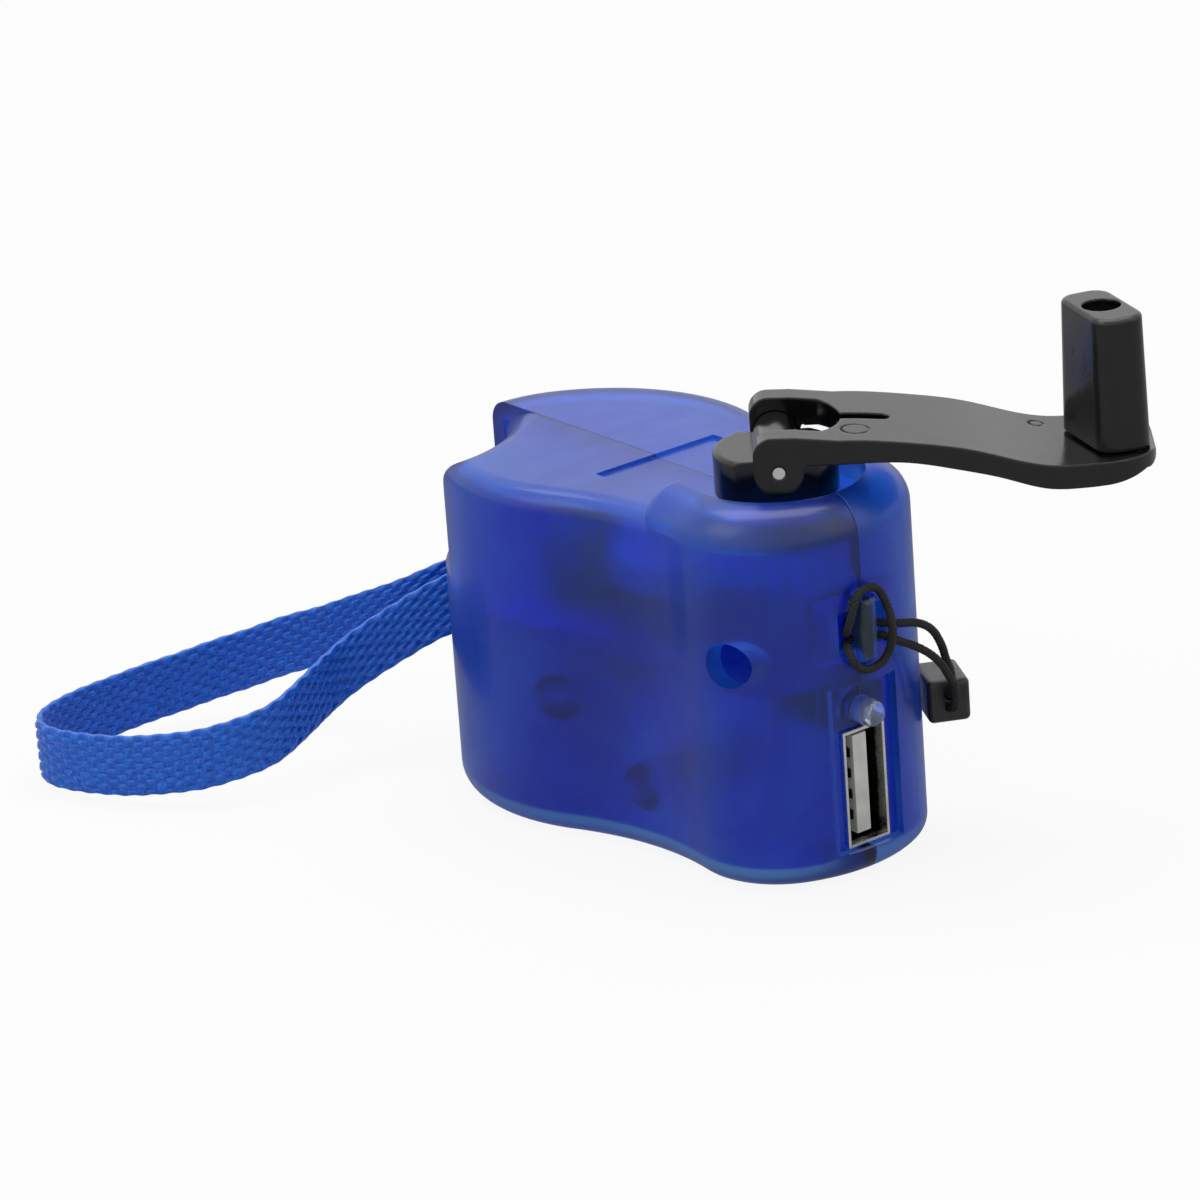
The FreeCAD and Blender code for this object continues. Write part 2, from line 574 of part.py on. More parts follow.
motor_height = S["deck_bottom"] - S["motor_bottom"]
can = cylinder("motor_round", S["motor_radius"], MOTOR_X, MOTOR_Y, S["motor_bottom"] + S["cap_thick"],
               motor_height - S["cap_thick"])
bore = cylinder("motor_bore", S["rotor_radius"] + S["running"], MOTOR_X, MOTOR_Y,
                S["motor_bottom"] - 1, motor_height + 2)
motor_can = cut("motor_can", can, bore)
cap = cylinder("cap_round", S["motor_radius"] - 0.6, MOTOR_X, MOTOR_Y, S["motor_bottom"],
               S["cap_thick"])
cap_bore = cylinder("cap_bore", S["rotor_radius"] + S["running"], MOTOR_X, MOTOR_Y,
                    S["motor_bottom"] - 1, S["cap_thick"] + 2)
motor_cap = cut("motor_cap", cap, cap_bore)
motor_shaft = cylinder("motor_shaft", S["rotor_radius"], MOTOR_X, MOTOR_Y, S["motor_bottom"] + 0.4,
                       S["third_level"] + S["gear_thick"] + 0.4 - S["motor_bottom"] - 0.4)
second_axle = cylinder("second_axle", S["axle_radius"], SECOND_X, ZERO, S["deck_bottom"],
                       S["drive_level"] + S["gear_thick"] + 0.8 - S["deck_bottom"])
third_axle = cylinder("third_axle", S["axle_radius"], THIRD_X, ZERO, S["deck_bottom"],
                      S["second_level"] + S["gear_thick"] + 0.8 - S["deck_bottom"])

screws = []
for tag in ("one", "two"):
    at = (-S["boss_%s_back" % tag], S["boss_%s_height" % tag])
    seat = S["front_half_width"] * 0.6
    rod = cylinder("screw_rod_" + tag, S["screw_radius"], at[0], -S["front_half_width"] * 0.5, at[1],
                   S["front_half_width"] * 0.5 + seat, "Y")
    head = cylinder("screw_head_" + tag, S["head_radius"], at[0], seat, at[1], S["head_thick"], "Y")
    screws.append(fuse("shell_screw_" + tag, rod, head))


# ---------------------------------------------------------------- gears
PRESSURE = math.radians(25)


def involute(angle):
    return math.tan(angle) - angle


def gear_face(teeth, module, phase):
    """Outline of a spur gear with stub involute teeth; phase turns a tooth to that angle."""
    teeth = int(round(teeth))
    pitch = teeth * module / 2
    ground = pitch * math.cos(PRESSURE)
    tip = pitch + 0.8 * module
    root = pitch - 1.05 * module
    half = math.pi / (2 * teeth) - float(S["backlash"]) / (2 * pitch) / 2
    points = []
    low = max(ground, root + 0.05 * module)
    radii = [low, (low + pitch) / 2, pitch, (pitch + tip) / 2, tip]
    flank = []
    for radius in radii:
        bend = involute(math.acos(min(1.0, ground / radius)))
        flank.append((radius, half + involute(PRESSURE) - bend))
    for k in range(teeth):
        middle = phase + 2 * math.pi * k / teeth
        points.append((root, middle - flank[0][1]))
        points += [(radius, middle - width) for radius, width in flank]
        points += [(radius, middle + width) for radius, width in reversed(flank)]
        points.append((root, middle + flank[0][1]))
    loop = [V(r * math.cos(a), r * math.sin(a), 0) for r, a in points]
    return Part.Face(Part.makePolygon(loop + loop[:1]))


def gear_solid(teeth, module, phase, bottom, height, bore_radius):
    face = gear_face(float(teeth), float(module), phase)
    face.translate(V(0, 0, float(bottom)))
    solid = face.extrude(V(0, 0, float(height)))
    drill = Part.makeCylinder(float(bore_radius), float(height) + 2, V(0, 0, float(bottom) - 1))
    return solid.cut(drill)


def lightened(solid, inner, outer, bottom, height, count):
    """Round windows between hub and teeth."""
    if outer - inner < 1.5:
        return solid
    radius = min((outer - inner) / 2 * 0.8, math.pi * (outer + inner) / 2 / count * 0.36)
    for k in range(count):
        a = 2 * math.pi * (k + 0.5) / count
        middle = (outer + inner) / 2
        at = V(middle * math.cos(a), middle * math.sin(a), bottom - 1)
        solid = solid.cut(Part.makeCylinder(radius, height + 2, at))
    return solid


GT = float(S["gear_thick"])
free_bore = float(S["axle_radius"] + S["running"])


def meshing_phase(teeth, angle):
    """Phase that leaves a gap between two teeth at the given direction."""
    return angle + math.pi / round(float(teeth))


drive = gear_solid(S["drive_teeth"], S["first_module"], math.pi, S["drive_level"], GT,
                   S["shaft_radius"])
drive = lightened(drive, float(S["shaft_radius"]) + 1.6,
                  float(S["drive_teeth"] * S["first_module"]) / 2 - 1.6,
                  float(S["drive_level"]), GT, 5)
drive_gear = feature("drive_gear", drive)

small = gear_solid(S["second_small_teeth"], S["first_module"],
                   meshing_phase(S["second_small_teeth"], 0.0), S["drive_level"] - 0.9, GT + 0.9,
                   free_bore)
large = gear_solid(S["second_large_teeth"], S["second_module"], math.pi, S["second_level"], GT,
                   free_bore)
large = lightened(large, float(S["second_small_teeth"] * S["first_module"]) / 2 + 1.2,
                  float(S["second_large_teeth"] * S["second_module"]) / 2 - 1.4,
                  float(S["second_level"]), GT, 6)
collar = Part.makeCylinder(float(S["second_small_teeth"] * S["first_module"]) / 2 - 0.9,
                           float(S["drive_level"]) - 0.9 - float(S["second_level"]) - GT,
                           V(0, 0, float(S["second_level"]) + GT))
collar = collar.cut(Part.makeCylinder(free_bore, 30, V(0, 0, float(S["second_level"]) - 1)))
second_gear = feature("second_gear", large.fuse([collar, small]).removeSplitter())

small = gear_solid(S["third_small_teeth"], S["second_module"],
                   meshing_phase(S["third_small_teeth"], 0.0), S["second_level"] - 0.9, GT + 0.9,
                   free_bore)
turn_angle = math.radians(float(S["motor_turn"]))
large = gear_solid(S["third_large_teeth"], S["third_module"], turn_angle, S["third_level"], GT,
                   free_bore)
large = lightened(large, float(S["third_small_teeth"] * S["second_module"]) / 2 + 1.2,
                  float(S["third_large_teeth"] * S["third_module"]) / 2 - 1.4,
                  float(S["third_level"]), GT, 6)
collar = Part.makeCylinder(float(S["third_small_teeth"] * S["second_module"]) / 2 - 0.9,
                           float(S["second_level"]) - 0.9 - float(S["third_level"]) - GT,
                           V(0, 0, float(S["third_level"]) + GT))
collar = collar.cut(Part.makeCylinder(free_bore, 30, V(0, 0, float(S["third_level"]) - 1)))
third_gear = feature("third_gear", large.fuse([collar, small]).removeSplitter())

pinion = gear_solid(S["pinion_teeth"], S["third_module"],
                    meshing_phase(S["pinion_teeth"], turn_angle + math.pi), S["third_level"], GT,
                    S["rotor_radius"])
motor_pinion = feature("motor_pinion", pinion)
place(second_gear, SECOND_X, ZERO, ZERO)
place(third_gear, THIRD_X, ZERO, ZERO)
place(motor_pinion, MOTOR_X, MOTOR_Y, ZERO)

# ---------------------------------------------------------------- crank, built along local +X
EAR_IN = S["hub_flat"] + S["air"]
EAR_OUT = EAR_IN + S["ear_thick"]


def turned(item):
    """Turns a finished crank piece to the angle at which the crank stands."""
    item.Placement = FreeCAD.Placement(V(0, 0, 0), FreeCAD.Rotation(V(0, 0, 1), float(S["crank_angle"])))
    item.setExpression("Placement.Rotation.Angle", (S["crank_angle"] * 1).text + " * 1deg")
    return item


hub_disc = cylinder("hub_disc", S["hub_radius"], ZERO, ZERO, S["hub_bottom"],
                    S["hub_top"] - S["hub_bottom"])
doc.recompute()
hub_soft = doc.addObject("Part::Fillet", "hub_soft")
hub_soft.Base = hub_disc
tops = [i + 1 for i, e in enumerate(hub_disc.Shape.Edges)
        if e.BoundBox.ZLength < 1e-6 and e.BoundBox.ZMin > float(S["hub_top"]) - 1e-6]
hub_soft.Edges = [(i, 0.5, 0.5) for i in tops]
flats = box("hub_flats", -S["hub_radius"] - 1, S["hub_radius"] + 1, -S["hub_flat"], S["hub_flat"],
            S["hub_bottom"] - 1, S["pin_height"] + S["barrel_radius"] + 1)
hub_body = common("hub_body", hub_soft, flats)
barrel = cylinder("barrel", S["barrel_radius"], S["pin_ahead"], -S["hub_flat"], S["pin_height"],
                  2 * S["hub_flat"], "Y")
sleeve = cylinder("sleeve", S["sleeve_radius"], ZERO, ZERO,
                  S["drive_level"] + S["gear_thick"],
                  S["hub_bottom"] - S["drive_level"] - S["gear_thick"])
pin_hole = cylinder("pin_hole", S["pin_radius"], S["pin_ahead"], -S["hub_flat"] - 1,
                    S["pin_height"], 2 * S["hub_flat"] + 2, "Y")
SHAFT_TOP = S["hub_bottom"] + 2
shaft_bore = cylinder("shaft_bore", S["shaft_radius"], ZERO, ZERO, S["drive_level"] - 1,
                      SHAFT_TOP - S["drive_level"] + 1)
crank_hub = turned(cut("crank_hub", fuse("hub_parts", hub_body, barrel, sleeve), pin_hole,
                       shaft_bore))
crank_shaft = cylinder("crank_shaft", S["shaft_radius"], ZERO, ZERO, S["deck_bottom"],
                       SHAFT_TOP - S["deck_bottom"])
hinge_pin = cylinder("hinge_pin", S["pin_radius"], ZERO, ZERO, ZERO, 2 * EAR_OUT, "Y")

PIN = (float(S["pin_ahead"]), float(S["pin_height"]))
DROP = float(S["arm_thick"])
TIP = float(S["arm_reach"])
KNOB_X = TIP - float(S["knob_inset"])


def side_curve(points):
    curve = Part.BSplineCurve()
    curve.interpolate([V(x, 0, z) for x, z in points])
    return curve.toShape()


def extruded(edges, direction, start):
    face = Part.Face(Part.Wire(edges))
    face.translate(start)
    return face.extrude(direction)


def arm_shape():
    """A fork that runs into a flat arm: it slopes down, then levels out under the knob."""
    pz = PIN[1]
    flat = float(S["knob_bottom"]) - 0.3
    wide = float(EAR_OUT)
    slot = float(EAR_IN)
    # heights of the top face along the arm, from the fork to the level end
    upper = [(3.3, pz + 3.1), (8.0, pz + 3.1), (14.3, pz + 2.35), (20.6, pz + 1.1), (25.3, pz - 0.4),
             (TIP - 10.7, flat + 0.05), (TIP - 6.7, flat), (TIP - 1.2, flat)]
    lower = [(TIP - 1.2, flat - DROP + 1.1), (TIP - 3.7, flat - DROP + 0.4),
             (TIP - 8.3, flat - DROP),
             (TIP - 11.5, flat - DROP + 0.15), (23.5, pz - 2.2), (18.8, pz - 0.9), (13.8, pz + 0.2),
             (8.6, pz + 0.5), (3.3, pz + 0.55)]
    a, b = upper[-1], lower[0]
    nose = Part.Arc(V(a[0], 0, a[1]), V(TIP, 0, (a[1] + b[1]) / 2), V(b[0], 0, b[1])).toShape()
    close = Part.LineSegment(V(lower[-1][0], 0, lower[-1][1]), V(upper[0][0], 0, upper[0][1])).toShape()
    plate = extruded([side_curve(upper), nose, side_curve(lower), close], V(0, 2 * wide, 0),
                     V(0, -wide, 0))
    # fork cheeks: a round lobe about the pin and a high rounded shoulder over it
    r = float(S["ear_radius"])
    px = PIN[0]
    lobe = Part.Arc(V(px + r, 0, pz), V(px, 0, pz - r), V(px - r, 0, pz)).toShape()
    shoulder = Part.Arc(V(px - r, 0, pz + 1.9), V(px - r + 0.6, 0, pz + 3.3),
                        V(px - r + 2.0, 0, pz + 3.85)).toShape()
    back = Part.LineSegment(V(px - r, 0, pz), V(px - r, 0, pz + 1.9)).toShape()
    run = [V(px - r + 2.0, 0, pz + 3.85), V(2.0, 0, pz + 3.75), V(7.0, 0, pz + 3.1),
           V(10.5, 0, pz + 2.2), V(10.5, 0, pz + 0.8), V(px + r + 0.3, 0, pz + 0.65), V(px + r, 0, pz)]
    cheek = extruded([lobe, back, shoulder] + [Part.LineSegment(p, q).toShape()
                                               for p, q in zip(run, run[1:])],
                     V(0, wide * 2, 0), V(0, -wide, 0))
    whole = plate.fuse(cheek).removeSplitter()
    # plan of the arm: straight sides and a rounded end
    top = 70.0
    corner = float(S["arm_corner"])
    bar = Part.makeBox(TIP + 20, 2 * wide, top, V(-20, -wide, 0))
    ends = [e for e in bar.Edges if e.BoundBox.ZLength > 1 and e.BoundBox.XMin > TIP - 1e-6]
    arm = whole.common(bar.makeFillet(corner, ends)).removeSplitter()
    # keyhole: the fork gap, the round seat of the hub seen from above, and the slot beyond it
    reach = float(S["hub_radius"]) + 1.5 * float(S["air"])
    gap = Part.makeBox(20, 2 * slot, top, V(px - 20, -slot, 0))
    strip = Part.makeBox(20, 2 * slot, top, V(px - 10, -slot, 0))
    bowl = Part.makeCylinder(reach, top).common(strip)
    half, last = float(S["arm_slot"]) / 2, float(S["arm_slot_end"])
    groove = Part.makeBox(last - half - 5.0, 2 * half, top, V(5.0, -half, 0))
    groove = groove.fuse(Part.makeCylinder(half, top, V(last - half, 0, 0)))
    hole = Part.makeCylinder(float(S["pin_radius"]) + float(S["running"]), 2 * wide + 2,
                             V(px, -wide - 1, pz), V(0, 1, 0))
    # threaded seat of the knob's screw, and two shallow witness rings in the top face
    seat = Part.makeCylinder(float(S["knob_bore"]) - float(S["running"]), top,
                             V(KNOB_X, -float(S["knob_side"]), flat - DROP / 2))
    arm = arm.cut([gap, bowl, groove, hole, seat])
    for x, y, radius, face in ((8.4, -4.3, 1.6, pz + 3.08), (27.7, 5.3, 0.9, flat + 0.25)):
        ring = Part.makeCylinder(radius, 5, V(x, y, face - 0.2))
        arm = arm.cut(ring.cut(Part.makeCylinder(radius - 0.3, 5, V(x, y, face - 0.2))))
    return arm.removeSplitter()


crank_arm = turned(feature("crank_arm", arm_shape()))


def corner_loop(points, radius, height):
    """A closed polygon with rounded corners at one height."""
    count = len(points)
    edges = []
    starts, stops = [], []
    for i in range(count):
        p, before, after = points[i], points[i - 1], points[(i + 1) % count]
        u = V(before[0] - p[0], before[1] - p[1], 0).normalize()
        w = V(after[0] - p[0], after[1] - p[1], 0).normalize()
        half = u.getAngle(w) / 2
        back = radius / math.tan(half)
        middle = (u + w).normalize() * (radius / math.sin(half) - radius)
        at = V(p[0], p[1], height)
        starts.append(at + u * back)
        stops.append(at + w * back)
        edges.append(Part.Arc(at + u * back, at + middle, at + w * back).toShape())
    lines = [Part.LineSegment(stops[i], starts[(i + 1) % count]).toShape() for i in range(count)]
    mixed = []
    for arc, line in zip(edges, lines):
        mixed += [arc, line]
    return Part.Wire(mixed)


def knob_shape():
    """A slanted grip that narrows upwards, bored for the screw that it turns on."""
    low, high = float(S["knob_bottom"]), float(S["knob_top"])
    half_a, half_b = float(S["knob_width"]) / 2, float(S["knob_thick"]) / 2
    plan = [(-half_a, -half_b), (half_a, -half_b), (half_a, half_b), (-half_a, half_b)]
    wires = []
    for height, scale in ((low, 1.08), (high, 1.0)):
        wires.append(corner_loop([(x * scale, y * scale) for x, y in plan],
                                 float(S["knob_round"]) * scale, height))
    grip = Part.makeLoft(wires, True, True)
    grip.rotate(V(0, 0, 0), V(0, 0, 1), -float(S["knob_slant"]))
    rim = [e for e in grip.Edges if e.BoundBox.ZMin > high - 1e-6]
    grip = grip.makeFillet(0.5, rim)
    x, y = KNOB_X, -float(S["knob_side"])
    grip.translate(V(x, y, 0))
    bore = Part.makeCylinder(float(S["knob_bore"]), high, V(x, y, low - 1))
    wide = Part.makeCylinder(float(S["knob_hole"]), 10, V(x, y, high - float(S["knob_hole_depth"])))
    return grip.cut([bore, wide])


crank_knob = turned(feature("crank_knob", knob_shape()))
flat_top = float(S["knob_bottom"]) - 0.3
screw_foot = flat_top - DROP / 2
screw_neck = float(S["knob_top"] - S["knob_hole_depth"]) + float(S["running"])
stud = Part.makeCylinder(float(S["knob_bore"] - S["running"]), screw_neck - screw_foot,
                         V(KNOB_X, -float(S["knob_side"]), screw_foot))
cap_head = Part.makeCylinder(float(S["knob_hole"]) - 0.2, 1.0,
                             V(KNOB_X, -float(S["knob_side"]), screw_neck))
knob_screw = turned(feature("knob_screw", stud.fuse(cap_head).removeSplitter()))

pin_turn = FreeCAD.Rotation(V(0, 0, 1), float(S["crank_angle"]))
pin_start = pin_turn.multVec(V(PIN[0], -float(EAR_OUT), PIN[1]))
hinge_pin.Placement = FreeCAD.Placement(pin_start, pin_turn.multiply(AXES["Y"]))
for axis in "xyz":
    hinge_pin.setExpression("Placement.Base." + axis, None)
hinge_pin.setExpression("Placement.Base.z", S["pin_height"].text)
hinge_pin.setExpression("Placement.Base.x", (S["pin_ahead"] * S["crank_angle"].cosine()
                                             + EAR_OUT * S["crank_angle"].sine()).text)
hinge_pin.setExpression("Placement.Base.y", (S["pin_ahead"] * S["crank_angle"].sine()
                                             - EAR_OUT * S["crank_angle"].cosine()).text)


# ---------------------------------------------------------------- soft pieces
def route(points, closed=False, radii=None):
    """Straight runs joined by tangent arcs; the radius is 0.45 of the shorter run by default."""
    count = len(points)
    points = [V(*p) for p in points]
    inner = range(count) if closed else range(1, count - 1)
    arcs = {}
    for i in inner:
        p, before, after = points[i], points[i - 1], points[(i + 1) % count]
        u, w = (before - p), (after - p)
        short = min(u.Length, w.Length)
        u.normalize()
        w.normalize()
        turn = math.pi - u.getAngle(w)
        back = 0.45 * short
        radius = back / math.tan(turn / 2)
        if radii is not None:
            radii.append(round(radius, 1))
        half = u.getAngle(w) / 2
        middle = (u + w).normalize() * (radius / math.sin(half) - radius)
        arcs[i] = (p + u * back, p + middle, p + w * back)
    edges = []
    for i in range(count if closed else count - 1):
        j = (i + 1) % count
        first = arcs[i][2] if i in arcs else points[i]
        last = arcs[j][0] if j in arcs else points[j]
        edges.append(Part.LineSegment(first, last).toShape())
        if j in arcs:
            edges.append(Part.Arc(*arcs[j]).toShape())
    return Part.Wire(edges)


def tube_along(wire, radius):
    first = wire.Edges[0]
    start = first.valueAt(first.FirstParameter)
    heading = first.tangentAt(first.FirstParameter)
    ring = Part.Wire(Part.makeCircle(radius, start, heading))
    return wire.makePipeShell([ring], True, False)


# dust plug, flat against the far flank
radius = S["front_corner_radius"] + S["air"] + S["plug_thick"] / 2
cosine, sine = S["plug_turn"].cosine(), S["plug_turn"].sine()
PLUG_X = CORNER_X + radius * cosine
PLUG_Y = CORNER_Y + radius * sine
half_t, half_w = float(S["plug_thick"]) / 2, float(S["plug_width"]) / 2
grip = Part.makeBox(2 * half_t, 2 * half_w, float(S["plug_height"]),
                    V(-half_t, -half_w, -float(S["plug_height"]) / 2))
grip = softened(grip, grip.Edges, float(S["plug_round"]))
CORD = float(S["cord_radius"])
EYE = half_w - float(S["eye_depth"])
EYE_RISE = 1.3 * CORD
eyes = [Part.makeCylinder(CORD, 2 * half_w, V(0, -EYE, z), V(0, -1, 0)) for z in (-EYE_RISE, EYE_RISE)]
grip = grip.cut(eyes[0].fuse(eyes[1]))
tether_plug = feature("tether_plug", grip)
tether_plug.Placement = FreeCAD.Placement(
    V(float(PLUG_X), float(PLUG_Y), float(S["plug_middle"])),
    FreeCAD.Rotation(V(0, 0, 1), float(S["plug_turn"])))
for axis, length in (("x", PLUG_X), ("y", PLUG_Y), ("z", S["plug_middle"])):
    bind(tether_plug, "Placement.Base." + axis, length)

# lanyard cord: from the plug, behind the front lug, round both its ends and back to the plug
plug_turn = math.radians(float(S["plug_turn"]))


def at_plug(out, along, up):
    """A point from the plug's middle: outwards, along its width and upwards."""
    return (float(PLUG_X) + out * math.cos(plug_turn) - along * math.sin(plug_turn),
            float(PLUG_Y) + out * math.sin(plug_turn) + along * math.cos(plug_turn),
            float(S["plug_middle"]) + up)


gap_x = float(POCKET_X + S["lug_gap"] / 2)
front_x = float(S["nose_reach"]) + CORD + 0.4
side = float(S["lug_width"]) / 2 + CORD + 0.9
low, high = float(POCKET_LOW) + 0.7, float(POCKET_LOW) + 2.0
under = float(S["front_lug_bottom"]) - CORD - 0.4
over = float(S["front_lug_bottom"] + S["front_lug_height"]) + CORD + 0.5
cord_points = [
    at_plug(0, -EYE, EYE_RISE), at_plug(0, -half_w - 1.1, EYE_RISE), at_plug(0.1, -half_w - 1.3, 3.8),
    (12.9, 11.0, 20.8), (13.6, 9.9, 23.2), (14.05, 8.3, 25.6), (14.1, 6.2, 26.9), (13.7, 4.3, 27.2),
    (front_x - 0.8, side, high), (gap_x, 1.5, high), (gap_x, -1.5, high),
    (front_x - 0.8, -side, high + 0.1), (front_x, -side, high + 1.8), (front_x, -1.3, over),
    (front_x, 1.3, over), (front_x + 0.1, side, high + 2.4), (front_x + 0.8, side, high + 0.6),
    (front_x + 0.8, side, low), (front_x + 0.2, side - 0.2, low - 1.8), (front_x, 1.2, under),
    (front_x, -1.2, under), (front_x, -side, low - 1.4), (front_x - 0.8, -side, low),
    (gap_x, -1.5, low), (gap_x, 1.5, low), (front_x - 0.8, side, low), (13.7, 4.0, 25.3),
    (14.2, 5.7, 24.4), (14.4, 7.6, 23.0), (14.3, 9.2, 21.3), (13.8, 10.5, 19.4),
    at_plug(0.2, -half_w - 2.7, 2.6), at_plug(0, -half_w - 2.4, -EYE_RISE), at_plug(0, -EYE, -EYE_RISE),
]
cord_radii = []
cord_wire = route(cord_points, False, cord_radii)
tether_cord = feature("tether_cord", tube_along(cord_wire, CORD))

# wrist strap: webbing on edge, through the rear lug, out over the surface and back
strap_x = -float(S["tail_reach"]) - float(S["lug_gap"]) / 2
strap_plan = [
    (strap_x, 1.2), (strap_x, -1.2), (strap_x - 0.75, -5.2), (strap_x - 3.85, -9.9),
    (strap_x - 6.35, -14.6), (strap_x - 7.25, -18.6), (strap_x - 5.35, -24.2),
    (strap_x - 3.95, -29.6), (strap_x - 6.15, -35.4), (strap_x - 11.35, -41.0),
    (strap_x - 18.95, -45.6), (strap_x - 25.15, -46.9), (strap_x - 29.35, -43.6),
    (strap_x - 30.95, -35.0), (strap_x - 29.35, -24.4), (strap_x - 24.55, -15.4),
    (strap_x - 15.95, -10.6), (strap_x - 8.35, -7.4), (strap_x - 4.55, -3.6), (strap_x - 3.65, 1.6),
    (strap_x - 1.85, 3.4), (strap_x - 0.45, 2.9),
]


def strap_shape():
    thick = float(S["strap_thick"])
    middle = route([(x, y, 0) for x, y in strap_plan], True)
    outer_loop = Part.Face(middle.makeOffset2D(thick / 2, 0, False, False))
    inner_loop = Part.Face(middle.makeOffset2D(-thick / 2, 0, False, False))
    band = outer_loop.cut(inner_loop).extrude(V(0, 0, 40))
    band.translate(V(0, 0, -5))
    # lower edge of the webbing, by distance from the lug towards the tip
    start = V(strap_x, 0, 0)
    heading = V(-0.5, -0.866, 0).normalize()
    low = float(S["rear_lug_bottom"] + S["rear_lug_height"] / 2 - S["strap_height"] / 2)
    share = [(-6.0, 1.0), (3.0, 0.98), (8.0, 0.85), (14.0, 0.63), (20.0, 0.41), (28.0, 0.2),
             (36.0, 0.08), (44.0, 0.02), (54.0, 0.0), (64.0, 0.0)]
    rise = [(s, 0.5 + (low - 0.5) * f) for s, f in share]
    tall = float(S["strap_height"])
    lower = Part.BSplineCurve()
    lower.interpolate([start + heading * s + V(0, 0, z) for s, z in rise])
    upper = Part.BSplineCurve()
    upper.interpolate([start + heading * s + V(0, 0, z + tall) for s, z in reversed(rise)])
    low_edge, high_edge = lower.toShape(), upper.toShape()
    a = low_edge.valueAt(low_edge.LastParameter)
    b = high_edge.valueAt(high_edge.FirstParameter)
    c = high_edge.valueAt(high_edge.LastParameter)
    e = low_edge.valueAt(low_edge.FirstParameter)
    face = Part.Face(Part.Wire([low_edge, Part.LineSegment(a, b).toShape(), high_edge,
                                Part.LineSegment(c, e).toShape()]))
    across = V(0.866, -0.5, 0).normalize()
    face.translate(across * -40)
    slab = face.extrude(across * 80)
    return band.common(slab)


wrist_strap = feature("wrist_strap", strap_shape())

# ---------------------------------------------------------------- check and write
doc.recompute()
PIECES = [
    left_shell, right_shell, gear_deck, motor_can, motor_cap, circuit_board, usb_shell, usb_tongue,
    led_lamp, second_axle, third_axle, wrist_strap, tether_cord, tether_plug, crank_hub, crank_shaft,
    drive_gear, hinge_pin, crank_arm, knob_screw, crank_knob, second_gear, third_gear, motor_shaft,
    motor_pinion,
] + contacts + screws
for item in doc.Objects:
    for word in ("Invalid", "Error"):
        if word in item.State:
            raise RuntimeError("%s is in state %s" % (item.Name, item.State))
for item in PIECES:
    item.Label = item.Name
    if item.Shape.isNull() or not item.Shape.isValid():
        raise RuntimeError("%s has no valid shape" % item.Name)
    item.Shape.exportStep("parts/%s.step" % item.Name)
    bb = item.Shape.optimalBoundingBox(False)
    print("%-16s solids %d volume %8.1f  x %.1f..%.1f y %.1f..%.1f z %.1f..%.1f" % (
        item.Name, len(item.Shape.Solids), item.Shape.Volume, bb.XMin, bb.XMax, bb.YMin, bb.YMax,
        bb.ZMin, bb.ZMax))
length = cord_wire.Length
print("cord length %.1f, volume ratio %.3f, radii %s" % (
    length, tether_cord.Shape.Volume / (math.pi * CORD * CORD * length), cord_radii))
print("motor axis", round(float(MOTOR_X), 3), round(float(MOTOR_Y), 3), "second", round(float(SECOND_X), 3),
      "third", round(float(THIRD_X), 3))
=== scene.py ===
"""Looks of the hand crank charger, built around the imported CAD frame.

Metres, Z up. The housing's seam is the plane y = 0, and the crank turns about the Z axis.
"""
import json
import math

import bmesh
import bpy
from mathutils import Matrix, Vector


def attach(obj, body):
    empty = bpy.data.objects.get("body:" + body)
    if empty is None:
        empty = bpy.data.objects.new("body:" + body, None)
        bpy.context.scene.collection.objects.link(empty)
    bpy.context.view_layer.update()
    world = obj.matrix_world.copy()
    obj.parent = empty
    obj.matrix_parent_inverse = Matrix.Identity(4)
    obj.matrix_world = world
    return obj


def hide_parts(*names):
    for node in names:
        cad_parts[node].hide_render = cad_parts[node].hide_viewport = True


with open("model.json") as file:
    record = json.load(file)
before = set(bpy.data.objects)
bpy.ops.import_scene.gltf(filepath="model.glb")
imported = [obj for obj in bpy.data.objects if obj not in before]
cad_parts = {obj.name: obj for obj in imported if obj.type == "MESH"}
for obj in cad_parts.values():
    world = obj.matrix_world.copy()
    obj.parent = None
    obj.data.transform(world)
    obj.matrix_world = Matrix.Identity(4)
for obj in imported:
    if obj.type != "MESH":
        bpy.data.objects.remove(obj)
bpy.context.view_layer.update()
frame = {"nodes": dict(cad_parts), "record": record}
NODES = frame["nodes"]
MM = 0.001


def linked(item):
    """Puts an object into the scene and hands it back."""
    bpy.context.scene.collection.objects.link(item)
    return item


# ---------------------------------------------------------------- camera
# a pinhole: angles in radians, and the pixel of the frame at which TARGET is seen
FOCAL_PX, IMAGE_PX, SENSOR = 6517.97, 1200.0, 36.0
DISTANCE = 0.692684
AZIMUTH, ELEVATION, ROLL = 0.6517411734, 0.3576925735, -0.0731089521
LOOK_U, LOOK_V = 782.0154, 664.6772
TARGET = Vector((-0.0010656, 0.0, 0.020))
NEAR_CLIP, FAR_CLIP = 0.01, 50.0


def camera_axes():
    """The camera's right, down and forward directions."""
    back = Vector((math.cos(ELEVATION) * math.cos(AZIMUTH),
                   -math.cos(ELEVATION) * math.sin(AZIMUTH), math.sin(ELEVATION)))
    right = Vector((math.sin(AZIMUTH), math.cos(AZIMUTH), 0.0))
    up = back.cross(right)
    rows = Matrix.Rotation(ROLL, 3, "Z") @ Matrix((right, -up, -back))
    return rows[0].copy(), rows[1].copy(), rows[2].copy()


RIGHT, DOWN, FORWARD = camera_axes()


